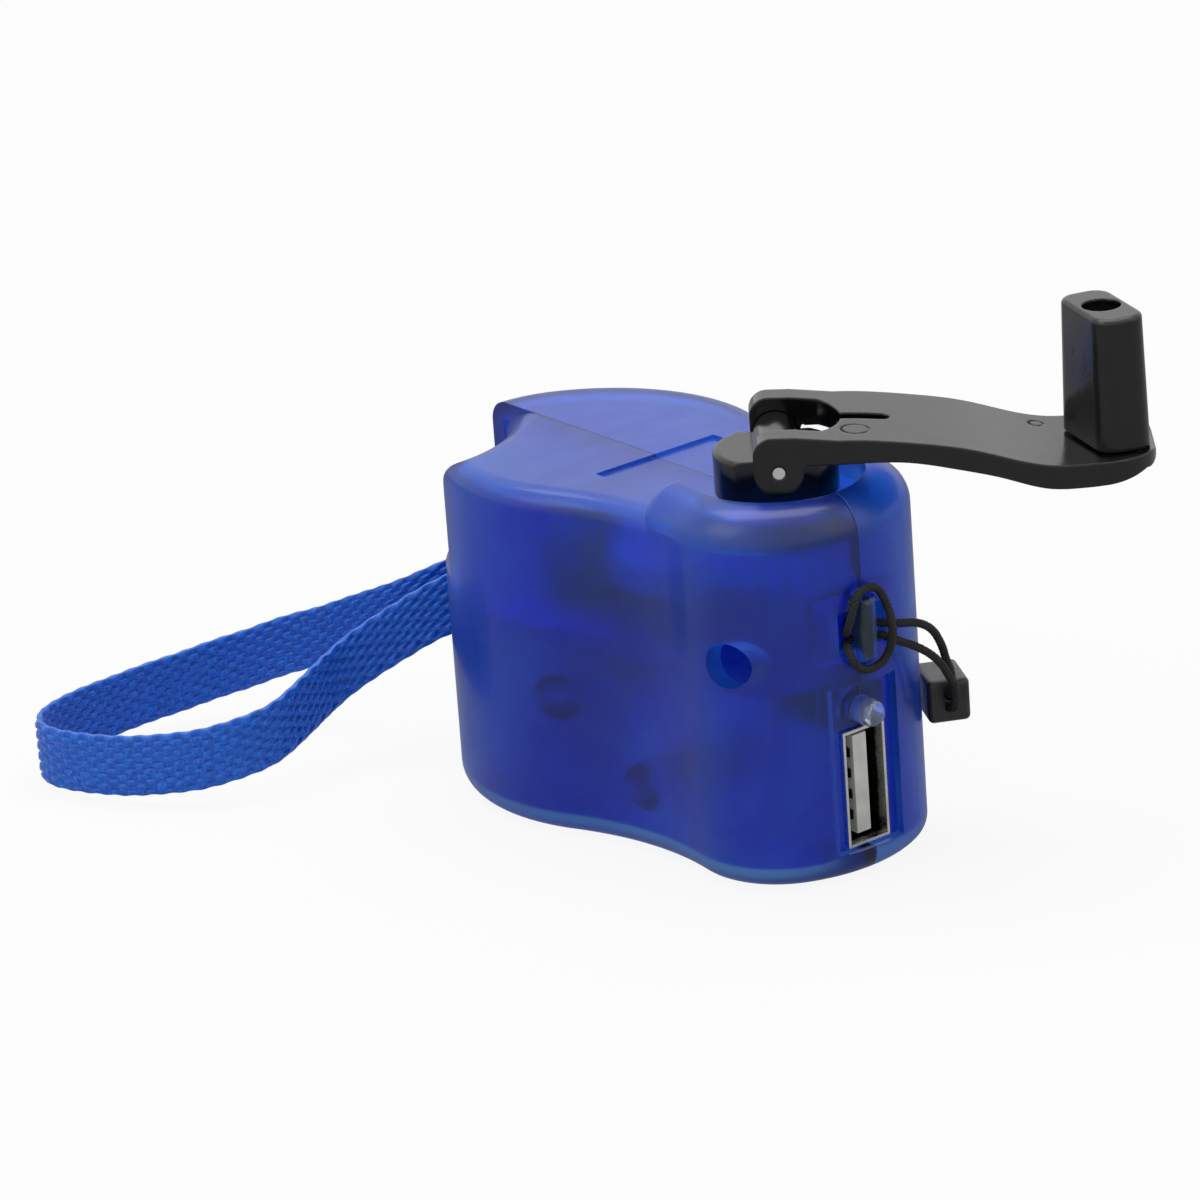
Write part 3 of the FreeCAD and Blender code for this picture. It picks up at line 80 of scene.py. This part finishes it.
def add_camera():
    data = bpy.data.cameras.new("camera")
    data.sensor_width = SENSOR
    data.lens = FOCAL_PX / IMAGE_PX * SENSOR
    data.clip_start, data.clip_end = NEAR_CLIP, FAR_CLIP
    side_step = (LOOK_U - IMAGE_PX / 2) * DISTANCE / FOCAL_PX
    down_step = (LOOK_V - IMAGE_PX / 2) * DISTANCE / FOCAL_PX
    eye = TARGET - RIGHT * side_step - DOWN * down_step - FORWARD * DISTANCE
    turned = Matrix((RIGHT, -DOWN, -FORWARD)).transposed().to_4x4()
    camera = linked(bpy.data.objects.new("camera", data))
    camera.matrix_world = Matrix.Translation(eye) @ turned
    bpy.context.scene.camera = camera


add_camera()
bpy.context.scene.view_settings.view_transform = "Standard"

# ---------------------------------------------------------------- material helpers
# most of a noise texture's values lie between these two
NOISE_SPAN = (0.3, 0.7)


def maths(tree, operation, first, second=0.0):
    """A Math node's output. Each input is a number or another node's output."""
    node = tree.nodes.new("ShaderNodeMath")
    node.operation = operation
    for socket, source in zip(node.inputs, (first, second)):
        if hasattr(source, "is_output"):
            tree.links.new(source, socket)
        else:
            socket.default_value = source
    return node.outputs[0]


class Look:
    """A material with one Principled shader, and short calls for the nodes that feed it."""

    def __init__(self, name, **sockets):
        self.material = bpy.data.materials.new(name)
        self.material.use_nodes = True
        self.tree = self.material.node_tree
        self.nodes, self.links = self.tree.nodes, self.tree.links
        self.shader = self.nodes["Principled BSDF"]
        self.coordinates = self.nodes.new("ShaderNodeTexCoord").outputs["Object"]
        self.height = None
        for socket, value in sockets.items():
            self.shader.inputs[socket.replace("_", " ")].default_value = value

    def stretched(self, *scale):
        mapping = self.nodes.new("ShaderNodeMapping")
        mapping.inputs["Scale"].default_value = scale
        self.links.new(self.coordinates, mapping.inputs["Vector"])
        return mapping.outputs["Vector"]

    def place(self, axis):
        """One coordinate of the point that is shaded, in metres."""
        parts = self.nodes.new("ShaderNodeSeparateXYZ")
        self.links.new(self.coordinates, parts.inputs[0])
        return parts.outputs[axis]

    def noise(self, scale, detail=3.0, rough=0.5, warp=0.0, vector=None):
        node = self.nodes.new("ShaderNodeTexNoise")
        for socket, value in (("Scale", scale), ("Detail", detail), ("Roughness", rough),
                              ("Distortion", warp)):
            node.inputs[socket].default_value = value
        self.links.new(vector or self.coordinates, node.inputs["Vector"])
        return node.outputs["Fac"]

    def spread(self, source, low, high, to_low, to_high):
        """Maps low..high to to_low..to_high and holds the ends."""
        node = self.nodes.new("ShaderNodeMapRange")
        for socket, value in (("From Min", low), ("From Max", high), ("To Min", to_low),
                              ("To Max", to_high)):
            node.inputs[socket].default_value = value
        self.links.new(source, node.inputs["Value"])
        return node.outputs["Result"]

    def fade(self, source, edge, start):
        """A mask from start (0 or 1) to its opposite across an edge given in millimetres."""
        return self.spread(source, edge[0] * MM, edge[1] * MM, start, 1.0 - start)

    def ramp(self, source, *stops):
        node = self.nodes.new("ShaderNodeValToRGB")
        elements = node.color_ramp.elements
        while len(elements) < len(stops):
            elements.new(0.5)
        for element, (place, colour) in zip(elements, stops):
            element.position = place
            element.color = (*colour, 1.0)
        self.links.new(source, node.inputs["Fac"])
        return node.outputs["Color"]

    def maths(self, operation, first, second=0.0):
        return maths(self.tree, operation, first, second)

    def product(self, first, *others):
        for other in others:
            first = self.maths("MULTIPLY", first, other)
        return first

    def colour(self, source, *stops):
        self.links.new(self.ramp(source, *stops), self.shader.inputs["Base Color"])

    def rough(self, source, low, high):
        """Roughness from low to high over the span of a noise."""
        self.links.new(self.spread(source, *NOISE_SPAN, low, high),
                       self.shader.inputs["Roughness"])

    def bump(self, source, depth, strength):
        """A bump of a depth in millimetres, on top of the ones already there."""
        node = self.nodes.new("ShaderNodeBump")
        node.inputs["Strength"].default_value = strength
        node.inputs["Distance"].default_value = depth * MM
        self.links.new(source, node.inputs["Height"])
        if self.height is not None:
            self.links.new(self.height, node.inputs["Normal"])
        self.height = node.outputs["Normal"]
        self.links.new(self.height, self.shader.inputs["Normal"])

    def brush(self, low, high):
        """Fine scratches along one direction."""
        grain = self.noise(1400.0, 4.0, 0.6, vector=self.stretched(1.0, 1.0, 14.0))
        self.rough(grain, low, high)
        self.bump(grain, 0.01, 0.4)


def rgb(red, green, blue):
    """A colour given as it looks on the screen, 0 to 255, as linear light."""
    return tuple(((c / 255 + 0.055) / 1.055) ** 2.4 if c > 10 else c / 255 / 12.92
                 for c in (red, green, blue))


# ---------------------------------------------------------------- materials
# millimetres from the seam over which its line fades, and the height below which painted shade
# darkens the blue, and how much
SEAM_EDGE = (0.06, 0.16)
PAINTED_SHADE_HEIGHT, PAINTED_SHADE_STRENGTH = 30.0, 0.10
# the small lug on the nose, which carries a painted highlight, in millimetres, where each of its
# edges fades
LUG_BACK, LUG_SIDE, LUG_BOTTOM, LUG_TOP = (12.0, 12.4), (1.8, 2.2), (23.8, 24.4), (31.2, 31.6)
# the cavity of the socket, in millimetres, where painted shade darkens the metal
SOCKET_HALF_WIDTH, SOCKET_HALF_HEIGHT, SOCKET_MIDDLE, SOCKET_MOUTH = 2.7, 6.4, 9.8, (9.8, 11.2)
# the level of the noise above which the board carries a trace
TRACE_LEVEL = 0.56


def blue_shell_look():
    look = Look("blue_shell", Transmission_Weight=0.95, IOR=1.46, Coat_Weight=0.22,
                Coat_Roughness=0.05, Specular_IOR_Level=0.22)
    # the two halves meet on y = 0, where the moulding leaves a fine line
    off_seam = look.maths("ABSOLUTE", look.place("Y"))
    seam = look.fade(off_seam, SEAM_EDGE, 1.0)
    # painted shade: the blue is darkened towards the bottom of the body
    depth = look.spread(look.place("Z"), 0.0, PAINTED_SHADE_HEIGHT * MM, PAINTED_SHADE_STRENGTH, 0.0)
    # painted highlight: the lug on the nose is lightened as if it caught the light
    lug = look.product(look.fade(look.place("X"), LUG_BACK, 0.0),
                       look.fade(off_seam, LUG_SIDE, 1.0),
                       look.fade(look.place("Z"), LUG_BOTTOM, 0.0),
                       look.fade(look.place("Z"), LUG_TOP, 1.0))
    # the seam's dark line together with the painted shade at the bottom, taken off the cloud
    dark = look.maths("ADD", depth, look.maths("MULTIPLY", seam, 0.5))
    cloud = look.maths("SUBTRACT", look.noise(55.0, 4.0, 0.55, warp=0.8), dark)
    look.colour(look.maths("MAXIMUM", cloud, lug),
                (0.05, (0.006, 0.035, 0.50)), (0.32, (0.014, 0.125, 0.90)),
                (0.50, (0.024, 0.205, 1.00)), (0.74, (0.040, 0.280, 1.00)),
                (0.98, (0.300, 0.580, 1.00)))
    look.rough(look.noise(180.0, 4.0, 0.55), 0.34, 0.42)
    look.bump(look.maths("SUBTRACT", 1.0, seam), 0.12, 0.9)
    look.bump(look.noise(1500.0, 2.0), 0.004, 0.2)
    look.bump(look.noise(45.0, 1.0), 0.05, 0.15)
    return look.material


def black_gloss_look(name, low=0.10, high=0.20, tone=0.003):
    look = Look(name, IOR=1.52)
    look.colour(look.noise(300.0, 4.0, 0.6), (0.35, (tone, tone, tone * 1.05)),
                (0.70, (tone * 1.9, tone * 1.9, tone * 2.0)))
    look.rough(look.noise(700.0, 5.0, 0.65, warp=0.4), low, high)
    # moulded edges are softened under the bumps
    edge = look.nodes.new("ShaderNodeBevel")
    edge.samples = 4
    edge.inputs["Radius"].default_value = 0.4 * MM
    look.height = edge.outputs["Normal"]
    look.bump(look.noise(1900.0, 3.0, 0.55), 0.02, 0.35)
    look.bump(look.noise(160.0, 2.0), 0.12, 0.18)
    return look.material


def plain_plastic_look(name, dark, light):
    look = Look(name)
    look.colour(look.noise(260.0, 4.0, 0.6), (0.35, dark), (0.7, light))
    look.rough(look.noise(900.0, 4.0, 0.6), 0.35, 0.5)
    look.bump(look.noise(2200.0), 0.02, 0.4)
    return look.material


def metal_look(name, dark, light, low, high):
    look = Look(name, Metallic=1.0)
    look.colour(look.noise(400.0, 4.0, 0.6), (0.3, dark), (0.7, light))
    look.brush(low, high)
    return look.material


def socket_look():
    """Bright tin outside and at the mouth, and painted shade that colours the metal within the
    socket nearly black.
    """
    look = Look("socket_metal", Metallic=1.0)
    aside = look.maths("ABSOLUTE", look.place("Y"))
    above = look.maths("ABSOLUTE", look.maths("SUBTRACT", look.place("Z"), SOCKET_MIDDLE * MM))
    # painted shade: the tin within the socket is coloured nearly black
    socket_shade_mask = look.product(look.maths("LESS_THAN", aside, SOCKET_HALF_WIDTH * MM),
                          look.maths("LESS_THAN", above, SOCKET_HALF_HEIGHT * MM),
                          look.fade(look.place("X"), SOCKET_MOUTH, 1.0))
    look.colour(look.maths("SUBTRACT", look.noise(400.0, 4.0, 0.6), socket_shade_mask),
                (0.0, (0.03, 0.03, 0.035)), (0.30, (0.74, 0.74, 0.72)),
                (0.70, (0.90, 0.90, 0.88)))
    look.brush(0.20, 0.34)
    return look.material


def lamp_look():
    look = Look("lamp_lens", Transmission_Weight=0.9, IOR=1.45)
    look.colour(look.noise(300.0, 2.0), (0.3, (0.80, 0.90, 1.0)), (0.7, (0.92, 0.97, 1.0)))
    look.rough(look.noise(800.0), 0.02, 0.08)
    return look.material


def board_look():
    look = Look("board")
    blotches = look.noise(900.0, 0.0, vector=look.stretched(1.0, 1.0, 0.25))
    traces = look.maths("GREATER_THAN", blotches, TRACE_LEVEL)
    look.colour(traces, (0.0, (0.015, 0.085, 0.030)), (1.0, (0.05, 0.20, 0.07)))
    look.rough(look.noise(700.0), 0.25, 0.4)
    look.bump(traces, 0.04, 0.5)
    return look.material


def webbing_look():
    look = Look("webbing", Sheen_Weight=0.25, Sheen_Roughness=0.4)
    fibre = look.noise(2600.0, 4.0, 0.65, vector=look.stretched(1.0, 1.0, 0.6))
    look.colour(fibre, (0.30, rgb(0, 72, 176)), (0.55, rgb(2, 104, 222)),
                (0.80, rgb(24, 150, 250)))
    look.rough(fibre, 0.28, 0.48)
    look.bump(fibre, 0.06, 0.6)
    return look.material


def braid_look():
    look = Look("braid")
    fibre = look.noise(5200.0, 3.0, 0.6)
    look.colour(fibre, (0.3, (0.0015, 0.0015, 0.002)), (0.75, (0.009, 0.009, 0.010)))
    look.rough(fibre, 0.45, 0.7)
    look.bump(fibre, 0.04, 0.7)
    return look.material


# the look of each of the record's material slots
LOOKS = {
    "shell_blue": blue_shell_look(),
    "crank_black": black_gloss_look("crank_black"),
    "gear_white": plain_plastic_look("gear_white", (0.62, 0.63, 0.60), (0.80, 0.80, 0.77)),
    "gear_black": plain_plastic_look("gear_black", (0.010, 0.010, 0.011), (0.030, 0.030, 0.032)),
    "deck_blue": plain_plastic_look("deck_blue", (0.02, 0.05, 0.36), (0.04, 0.09, 0.50)),
    "steel": metal_look("steel", (0.48, 0.49, 0.51), (0.66, 0.67, 0.69), 0.24, 0.42),
    "nickel": metal_look("nickel", (0.74, 0.74, 0.72), (0.90, 0.90, 0.88), 0.16, 0.30),
    "brass": metal_look("brass", (0.68, 0.50, 0.20), (0.86, 0.68, 0.34), 0.18, 0.32),
    "socket_grey": plain_plastic_look("socket_grey", (0.60, 0.60, 0.55), (0.78, 0.78, 0.72)),
    "lamp_clear": lamp_look(),
    "board_green": board_look(),
    "strap_blue": webbing_look(),
    "cord_black": braid_look(),
    "plug_black": black_gloss_look("plug_black", 0.24, 0.40, 0.012),
}
# nodes that look unlike the rest of their slot
# painted shade: the contacts within the socket are coloured near-black
CONTACT_PAINTED_SHADE = metal_look("contact_metal", (0.02, 0.02, 0.02), (0.06, 0.055, 0.05), 0.3, 0.45)
ZINC = plain_plastic_look("zinc_plate", (0.70, 0.74, 0.80), (0.86, 0.88, 0.92))
OWN_LOOKS = {"usb_shell": socket_look(), "shell_screw_one": ZINC, "shell_screw_two": ZINC,
             "usb_contact_1": CONTACT_PAINTED_SHADE, "usb_contact_2": CONTACT_PAINTED_SHADE,
             "usb_contact_3": CONTACT_PAINTED_SHADE, "usb_contact_4": CONTACT_PAINTED_SHADE}

for part in frame["record"]["subparts"]:
    name = part["node"]
    materials = NODES[name].data.materials
    materials.clear()
    materials.append(OWN_LOOKS.get(name, LOOKS[part["material_slot"]]))


# ---------------------------------------------------------------- mesh helpers
def piece(name, points, faces, look, body):
    """A smooth mesh that rides on a body."""
    mesh = bpy.data.meshes.new(name)
    mesh.from_pydata([tuple(p) for p in points], [], faces)
    mesh.validate()
    build = bmesh.new()
    build.from_mesh(mesh)
    bmesh.ops.recalc_face_normals(build, faces=build.faces)
    build.to_mesh(mesh)
    build.free()
    mesh.shade_smooth()
    mesh.materials.append(look)
    item = linked(bpy.data.objects.new(name, mesh))
    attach(item, body)
    return item


def route_points(name, route, closed=False):
    """Points along the NURBS line of order 3 that a route's control points give."""
    curve = bpy.data.curves.new(name, "CURVE")
    curve.dimensions = "3D"
    curve.resolution_u = 24
    line = curve.splines.new("NURBS")
    line.points.add(len(route) - 1)
    for point, place in zip(line.points, route):
        point.co = (*place, 1.0)
    line.order_u = 3
    line.use_endpoint_u = not closed
    line.use_cyclic_u = closed
    guide = linked(bpy.data.objects.new(name, curve))
    bpy.context.view_layer.update()
    shown = guide.evaluated_get(bpy.context.evaluated_depsgraph_get())
    mesh = bpy.data.meshes.new_from_object(shown)
    points = [v.co.copy() for v in mesh.vertices]
    bpy.data.meshes.remove(mesh)
    bpy.data.objects.remove(guide)
    return points


def evenly(points, step):
    """Points at an even distance along a line of points, and the line's length."""
    lengths = [0.0]
    for first, second in zip(points, points[1:]):
        lengths.append(lengths[-1] + (second - first).length)
    count = max(2, round(lengths[-1] / step))
    result = []
    place = 0
    for k in range(count + 1):
        want = lengths[-1] * k / count
        while place < len(points) - 2 and lengths[place + 1] < want:
            place += 1
        run = lengths[place + 1] - lengths[place]
        share = 0.0 if run == 0 else (want - lengths[place]) / run
        result.append(points[place].lerp(points[place + 1], min(1.0, share)))
    return result, lengths[-1]


# ---------------------------------------------------------------- cord of the dust plug
CORD_RADIUS = 0.5 * MM
# out of the plug, round the front lug in a hitch, and back, in millimetres
TETHER_ROUTE = [
    (9.04, 13.96, 15.55), (11.6, 12.6, 15.55), (11.82, 12.6, 18.7), (12.9, 11.0, 20.8),
    (13.6, 9.9, 23.2), (14.05, 8.3, 25.6), (14.1, 6.2, 26.9), (13.7, 4.3, 27.2), (12.9, 2.5, 27.6),
    (11.45, 1.5, 27.6), (11.45, -1.5, 27.6), (12.9, -2.5, 27.7), (13.7, -2.5, 29.4),
    (13.7, -1.3, 32.4), (13.7, 1.3, 32.4), (13.8, 2.5, 30.0), (14.5, 2.5, 28.2), (14.5, 2.5, 26.3),
    (13.9, 2.3, 24.5), (13.7, 1.2, 23.4), (13.7, -1.2, 23.4), (13.7, -2.5, 24.9),
    (12.9, -2.5, 26.3), (11.45, -1.5, 26.3), (11.45, 1.5, 26.3), (12.9, 2.5, 26.3),
    (13.7, 4.0, 25.3), (14.2, 5.7, 24.4), (14.4, 7.6, 23.0), (14.3, 9.2, 21.3), (13.8, 10.5, 19.4),
    (13.11, 12.03, 17.5), (12.75, 11.99, 14.25), (9.04, 13.96, 14.25),
]
# strands each way, and in millimetres the length of one turn and the spacing of the rings
CARRIERS, BRAID_PITCH, BRAID_STEP = 6, 2.6, 0.16
# radii as shares of the cord's: the core, a strand, and the strands' circle
CORE_SHARE, STRAND_SHARE, LAY_SHARE = 0.70, 0.20, 0.80
# how far a strand sinks and weaves, as shares of its own radius
SINK, WEAVE = 0.5, 0.8
CORE_SIDES, STRAND_SIDES = 8, 5


def frames_along(points):
    """Right-angled frames carried along a line without twisting."""
    tangents = []
    for k in range(len(points)):
        before, after = points[max(0, k - 1)], points[min(len(points) - 1, k + 1)]
        tangents.append((after - before).normalized())
    side = tangents[0].orthogonal().normalized()
    result = []
    for tangent in tangents:
        side = (side - tangent * side.dot(tangent)).normalized()
        result.append((tangent, side, tangent.cross(side)))
    return result


def round_point(point, side, up, angle, radius):
    """The point at an angle and a distance round a point of a line."""
    return point + (side * math.cos(angle) + up * math.sin(angle)) * radius


def tube(points, frames, radius, sides, out_points, out_faces):
    """Adds a closed tube round a line to lists of points and faces."""
    base = len(out_points)
    for point, (tangent, side, up) in zip(points, frames):
        for k in range(sides):
            angle = 2 * math.pi * k / sides
            out_points.append(round_point(point, side, up, angle, radius))
    last = base + (len(points) - 1) * sides
    for ring in range(base, last, sides):
        for k in range(sides):
            a, b = ring + k, ring + (k + 1) % sides
            out_faces.append((a, b, b + sides, a + sides))
    out_faces.append(tuple(base + k for k in range(sides))[::-1])
    out_faces.append(tuple(last + k for k in range(sides)))


def braided_cord(name, route, radius, look):
    """Strands plaited both ways round a core, along the route's own line."""
    path, length = evenly(route_points(name + "_line", [Vector(p) * MM for p in route]),
                          BRAID_STEP * MM)
    frames = frames_along(path)
    points, faces = [], []
    tube(path, frames, radius * CORE_SHARE, CORE_SIDES, points, faces)
    strand = radius * STRAND_SHARE
    step = length / (len(path) - 1)
    for hand in (1, -1):
        for carrier in range(CARRIERS):
            place = math.pi * carrier / CARRIERS
            line = []
            for k, (point, (tangent, side, up)) in enumerate(zip(path, frames)):
                angle = hand * 2 * math.pi * (k * step / (BRAID_PITCH * MM)) + 2 * place
                weave = math.cos(CARRIERS * (angle * hand + place * (1 - hand))) * 0.5
                lift = radius * LAY_SHARE - strand * SINK + hand * weave * strand * WEAVE
                line.append(round_point(point, side, up, angle, lift))
            tube(line, frames_along(line), strand, STRAND_SIDES, points, faces)
    return piece(name, points, faces, look, "housing"), path


tether, tether_path = braided_cord("tether_braid", TETHER_ROUTE, CORD_RADIUS, LOOKS["cord_black"])
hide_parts("tether_cord")

# ---------------------------------------------------------------- wrist strap, in millimetres
STRAP_X, STRAP_LUG_Z = -50.05, 17.5
STRAP_PLAN = [
    (STRAP_X, 1.2), (STRAP_X, -1.2), (-50.8, -5.2), (-53.9, -9.9), (-56.4, -14.6), (-57.3, -18.6),
    (-55.4, -24.2), (-54.0, -29.6), (-56.2, -35.4), (-61.4, -41.0), (-69.0, -45.6), (-75.2, -46.9),
    (-79.4, -43.6), (-81.0, -35.0), (-79.4, -24.4), (-74.6, -15.4), (-66.0, -10.6), (-58.4, -7.4),
    (-54.6, -3.6), (-53.7, 1.6), (-51.9, 3.4), (-50.5, 2.9),
]
# distance from the lug along the fall's direction, and the share of the height still left there
STRAP_FALL = [(-6, 1), (3, .98), (8, .85), (14, .63), (20, .41), (28, .2), (36, .08), (44, .02),
              (54, 0), (64, 0)]
FALL_DIRECTION = (-0.5, -0.8660254)
STRAP_BASE, STRAP_TOP, STRAP_HEIGHT, STRAP_THICK = 0.5, 14.0, 7.0, 1.0
SMOOTHINGS = 60
# the weave: length of a pick, steps in it, warp ends across the band, and rows in each end
PICK, PICK_STEPS, WARP_ENDS, END_ROWS = 1.12, 8, 11, 6
# height of the picks and of the ends, and the level at which an end neither swells nor sinks
PICK_SWELL, END_SWELL, END_LEVEL = 0.16, 0.10, 0.6
# the band thins over the selvedge: its width, the thickness left there, and what the rest adds
SELVEDGE, SELVEDGE_THICK, ADDED_THICK = 0.7, 0.42, 0.30
# the outermost row and how far its edge is lumpy
LIP, LIP_LUMP = 0.02, 0.05
# points at the lug that aren't part of the loop
LUG_POINTS = 12


def strap_height(x, y):
    """Height of the strap's lower edge, which falls from the lug to the table."""
    along = FALL_DIRECTION[0] * (x - STRAP_X) + FALL_DIRECTION[1] * y
    share = STRAP_FALL[-1][1]
    for (first, high), (second, low) in zip(STRAP_FALL, STRAP_FALL[1:]):
        if first <= along <= second:
            share = high + (low - high) * (along - first) / (second - first)
            break
    if along < STRAP_FALL[0][0]:
        share = STRAP_FALL[0][1]
    return STRAP_BASE + (STRAP_TOP - STRAP_BASE) * share


def webbing():
    """Flat woven band along the plan's line, with picks, warp ends and a lumpy selvedge."""
    plan = route_points("strap_line", [Vector((x, y, 0.0)) * MM for x, y in STRAP_PLAN], True)
    plan.append(plan[0])
    path, length = evenly(plan, PICK / PICK_STEPS * MM)
    path, count = path[:-1], len(path) - 1
    heights = [strap_height(p.x / MM, p.y / MM) for p in path]
    for _ in range(SMOOTHINGS):
        heights = [(heights[i - 1] + heights[i] * 2 + heights[(i + 1) % count]) / 4
                   for i in range(count)]
    picks = 2 * round(length / MM / PICK / 2)
    rows = WARP_ENDS * END_ROWS
    half_thick = STRAP_THICK / 2 * MM
    ring = 2 * (rows + 1)
    points, faces = [], []
    for i, point in enumerate(path):
        tangent = (path[(i + 1) % count] - path[i - 1]).normalized()
        outward = Vector((tangent.y, -tangent.x, 0.0))
        phase = math.pi * picks * i / count
        for face in (1, -1):
            for r in range(rows + 1):
                v = r / rows if face > 0 else 1 - r / rows
                end = min(WARP_ENDS - 1, int(v * WARP_ENDS))
                across = v * WARP_ENDS - end
                rounded = math.sqrt(max(0.0, 1 - (2 * across - 1) ** 2))
                over = math.cos(phase + math.pi * end) * face
                swell = PICK_SWELL * MM * over + END_SWELL * MM * (rounded - END_LEVEL)
                edge = min(v, 1 - v) * STRAP_HEIGHT
                taper = min(1.0, edge / SELVEDGE) ** 0.5
                depth = half_thick * (SELVEDGE_THICK + ADDED_THICK * taper) + swell * taper
                z = heights[i] * MM + STRAP_HEIGHT * MM * v
                if edge < LIP:
                    z += LIP_LUMP * MM * math.cos(phase) * (1 if v > 0.5 else -1)
                points.append(Vector((point.x, point.y, z)) + outward * depth * face)
    for i in range(count):
        here, ahead = i * ring, (i + 1) % count * ring
        for r in range(ring):
            beside = (r + 1) % ring
            faces.append((here + r, here + beside, ahead + beside, ahead + r))
    item = piece("wrist_webbing", points, faces, LOOKS["strap_blue"], "housing")
    middle = [Vector((p.x, p.y, (h + STRAP_HEIGHT / 2) * MM)) for p, h in zip(path, heights)]
    return item, middle


strap, strap_path = webbing()
lug_point = Vector((STRAP_X * MM, 0, STRAP_LUG_Z * MM))
start = min(range(len(strap_path)), key=lambda k: (strap_path[k] - lug_point).length)
strap_path = strap_path[start:] + strap_path[:start]
strap_path = strap_path[LUG_POINTS:-LUG_POINTS]
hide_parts("wrist_strap")

# ---------------------------------------------------------------- floor, world and lamps
WHITE = (1, 1, 1, 1)
FLOOR_REACH = 6.0
# how much of the floor's glow each kind of ray sees, and how far the glow hides the lit floor
GLOSSY_DIMMING, GLOSSY_SEES, TRANSMISSION_SEES, GLOW_SHARE = 0.66, 0.9, 0.95, 0.90
SKY_COLOUR, SKY_STRENGTH = (0.96, 0.98, 1.0, 1.0), 0.34
# name, metres to the left, up and towards the camera, width, height, and watts
LAMPS = [
    ("key", 0.75, 0.55, 0.45, 0.7, 0.7, 2.4),
    ("fill", -0.8, 0.45, 0.35, 0.6, 0.8, 0.7),
    ("overhead", 0.0, 1.0, -0.25, 0.9, 0.6, 5.5),
]


def blend_to_output(tree, factor, first, second, output):
    """Mixes two shaders by a factor and feeds the result to the tree's output."""
    blend = tree.nodes.new("ShaderNodeMixShader")
    tree.links.new(factor, blend.inputs["Fac"])
    tree.links.new(first.outputs[0], blend.inputs[1])
    tree.links.new(second.outputs[0], blend.inputs[2])
    tree.links.new(blend.outputs[0], tree.nodes[output].inputs["Surface"])


def add_floor():
    """A floor that takes shadows and looks white to the camera, in gloss and through plastic."""
    look = Look("floor_pale", Base_Color=(0.86, 0.86, 0.86, 1.0), Roughness=0.9,
                Specular_IOR_Level=0.1)
    glow = look.nodes.new("ShaderNodeEmission")
    glow.inputs["Color"].default_value = WHITE
    rays = look.nodes.new("ShaderNodeLightPath").outputs
    dimmed = look.maths("MULTIPLY", rays["Is Glossy Ray"], GLOSSY_DIMMING)
    look.links.new(look.maths("SUBTRACT", 1.0, dimmed), glow.inputs["Strength"])
    through = look.maths("MULTIPLY", rays["Is Transmission Ray"], TRANSMISSION_SEES)
    mirrored = look.maths("MULTIPLY", rays["Is Glossy Ray"], GLOSSY_SEES)
    seen = look.maths("MAXIMUM", rays["Is Camera Ray"], look.maths("MAXIMUM", mirrored, through))
    blend_to_output(look.tree, look.maths("MULTIPLY", seen, GLOW_SHARE), look.shader, glow,
                    "Material Output")
    mesh = bpy.data.meshes.new("floor")
    mesh.from_pydata([(x * FLOOR_REACH, y * FLOOR_REACH, 0)
                      for x, y in ((-1, -1), (1, -1), (1, 1), (-1, 1))], [], [(0, 1, 2, 3)])
    mesh.materials.append(look.material)
    linked(bpy.data.objects.new("floor", mesh))


def add_world():
    """A dim sky as light, and white where the camera, gloss and clear plastic look at it."""
    world = bpy.data.worlds.new("studio")
    bpy.context.scene.world = world
    world.use_nodes = True
    tree = world.node_tree
    sky = tree.nodes["Background"]
    sky.inputs["Color"].default_value = SKY_COLOUR
    sky.inputs["Strength"].default_value = SKY_STRENGTH
    white = tree.nodes.new("ShaderNodeBackground")
    white.inputs["Color"].default_value = WHITE
    white.inputs["Strength"].default_value = 1.0
    rays = tree.nodes.new("ShaderNodeLightPath").outputs
    bent = maths(tree, "MAXIMUM", rays["Is Glossy Ray"], rays["Is Transmission Ray"])
    blend_to_output(tree, maths(tree, "MAXIMUM", rays["Is Camera Ray"], bent), sky, white,
                    "World Output")


def add_lamp(name, left, up, near, width, height, power):
    """An area lamp placed in the camera's own directions, aimed at the object."""
    data = bpy.data.lights.new(name, "AREA")
    data.shape = "RECTANGLE"
    data.size, data.size_y, data.energy = width, height, power
    item = linked(bpy.data.objects.new(name, data))
    item.location = TARGET - RIGHT * left - FORWARD * near + Vector((0, 0, up))
    item.rotation_euler = (item.location - TARGET).to_track_quat("Z", "Y").to_euler()


add_floor()
add_world()
for settings in LAMPS:
    add_lamp(*settings)
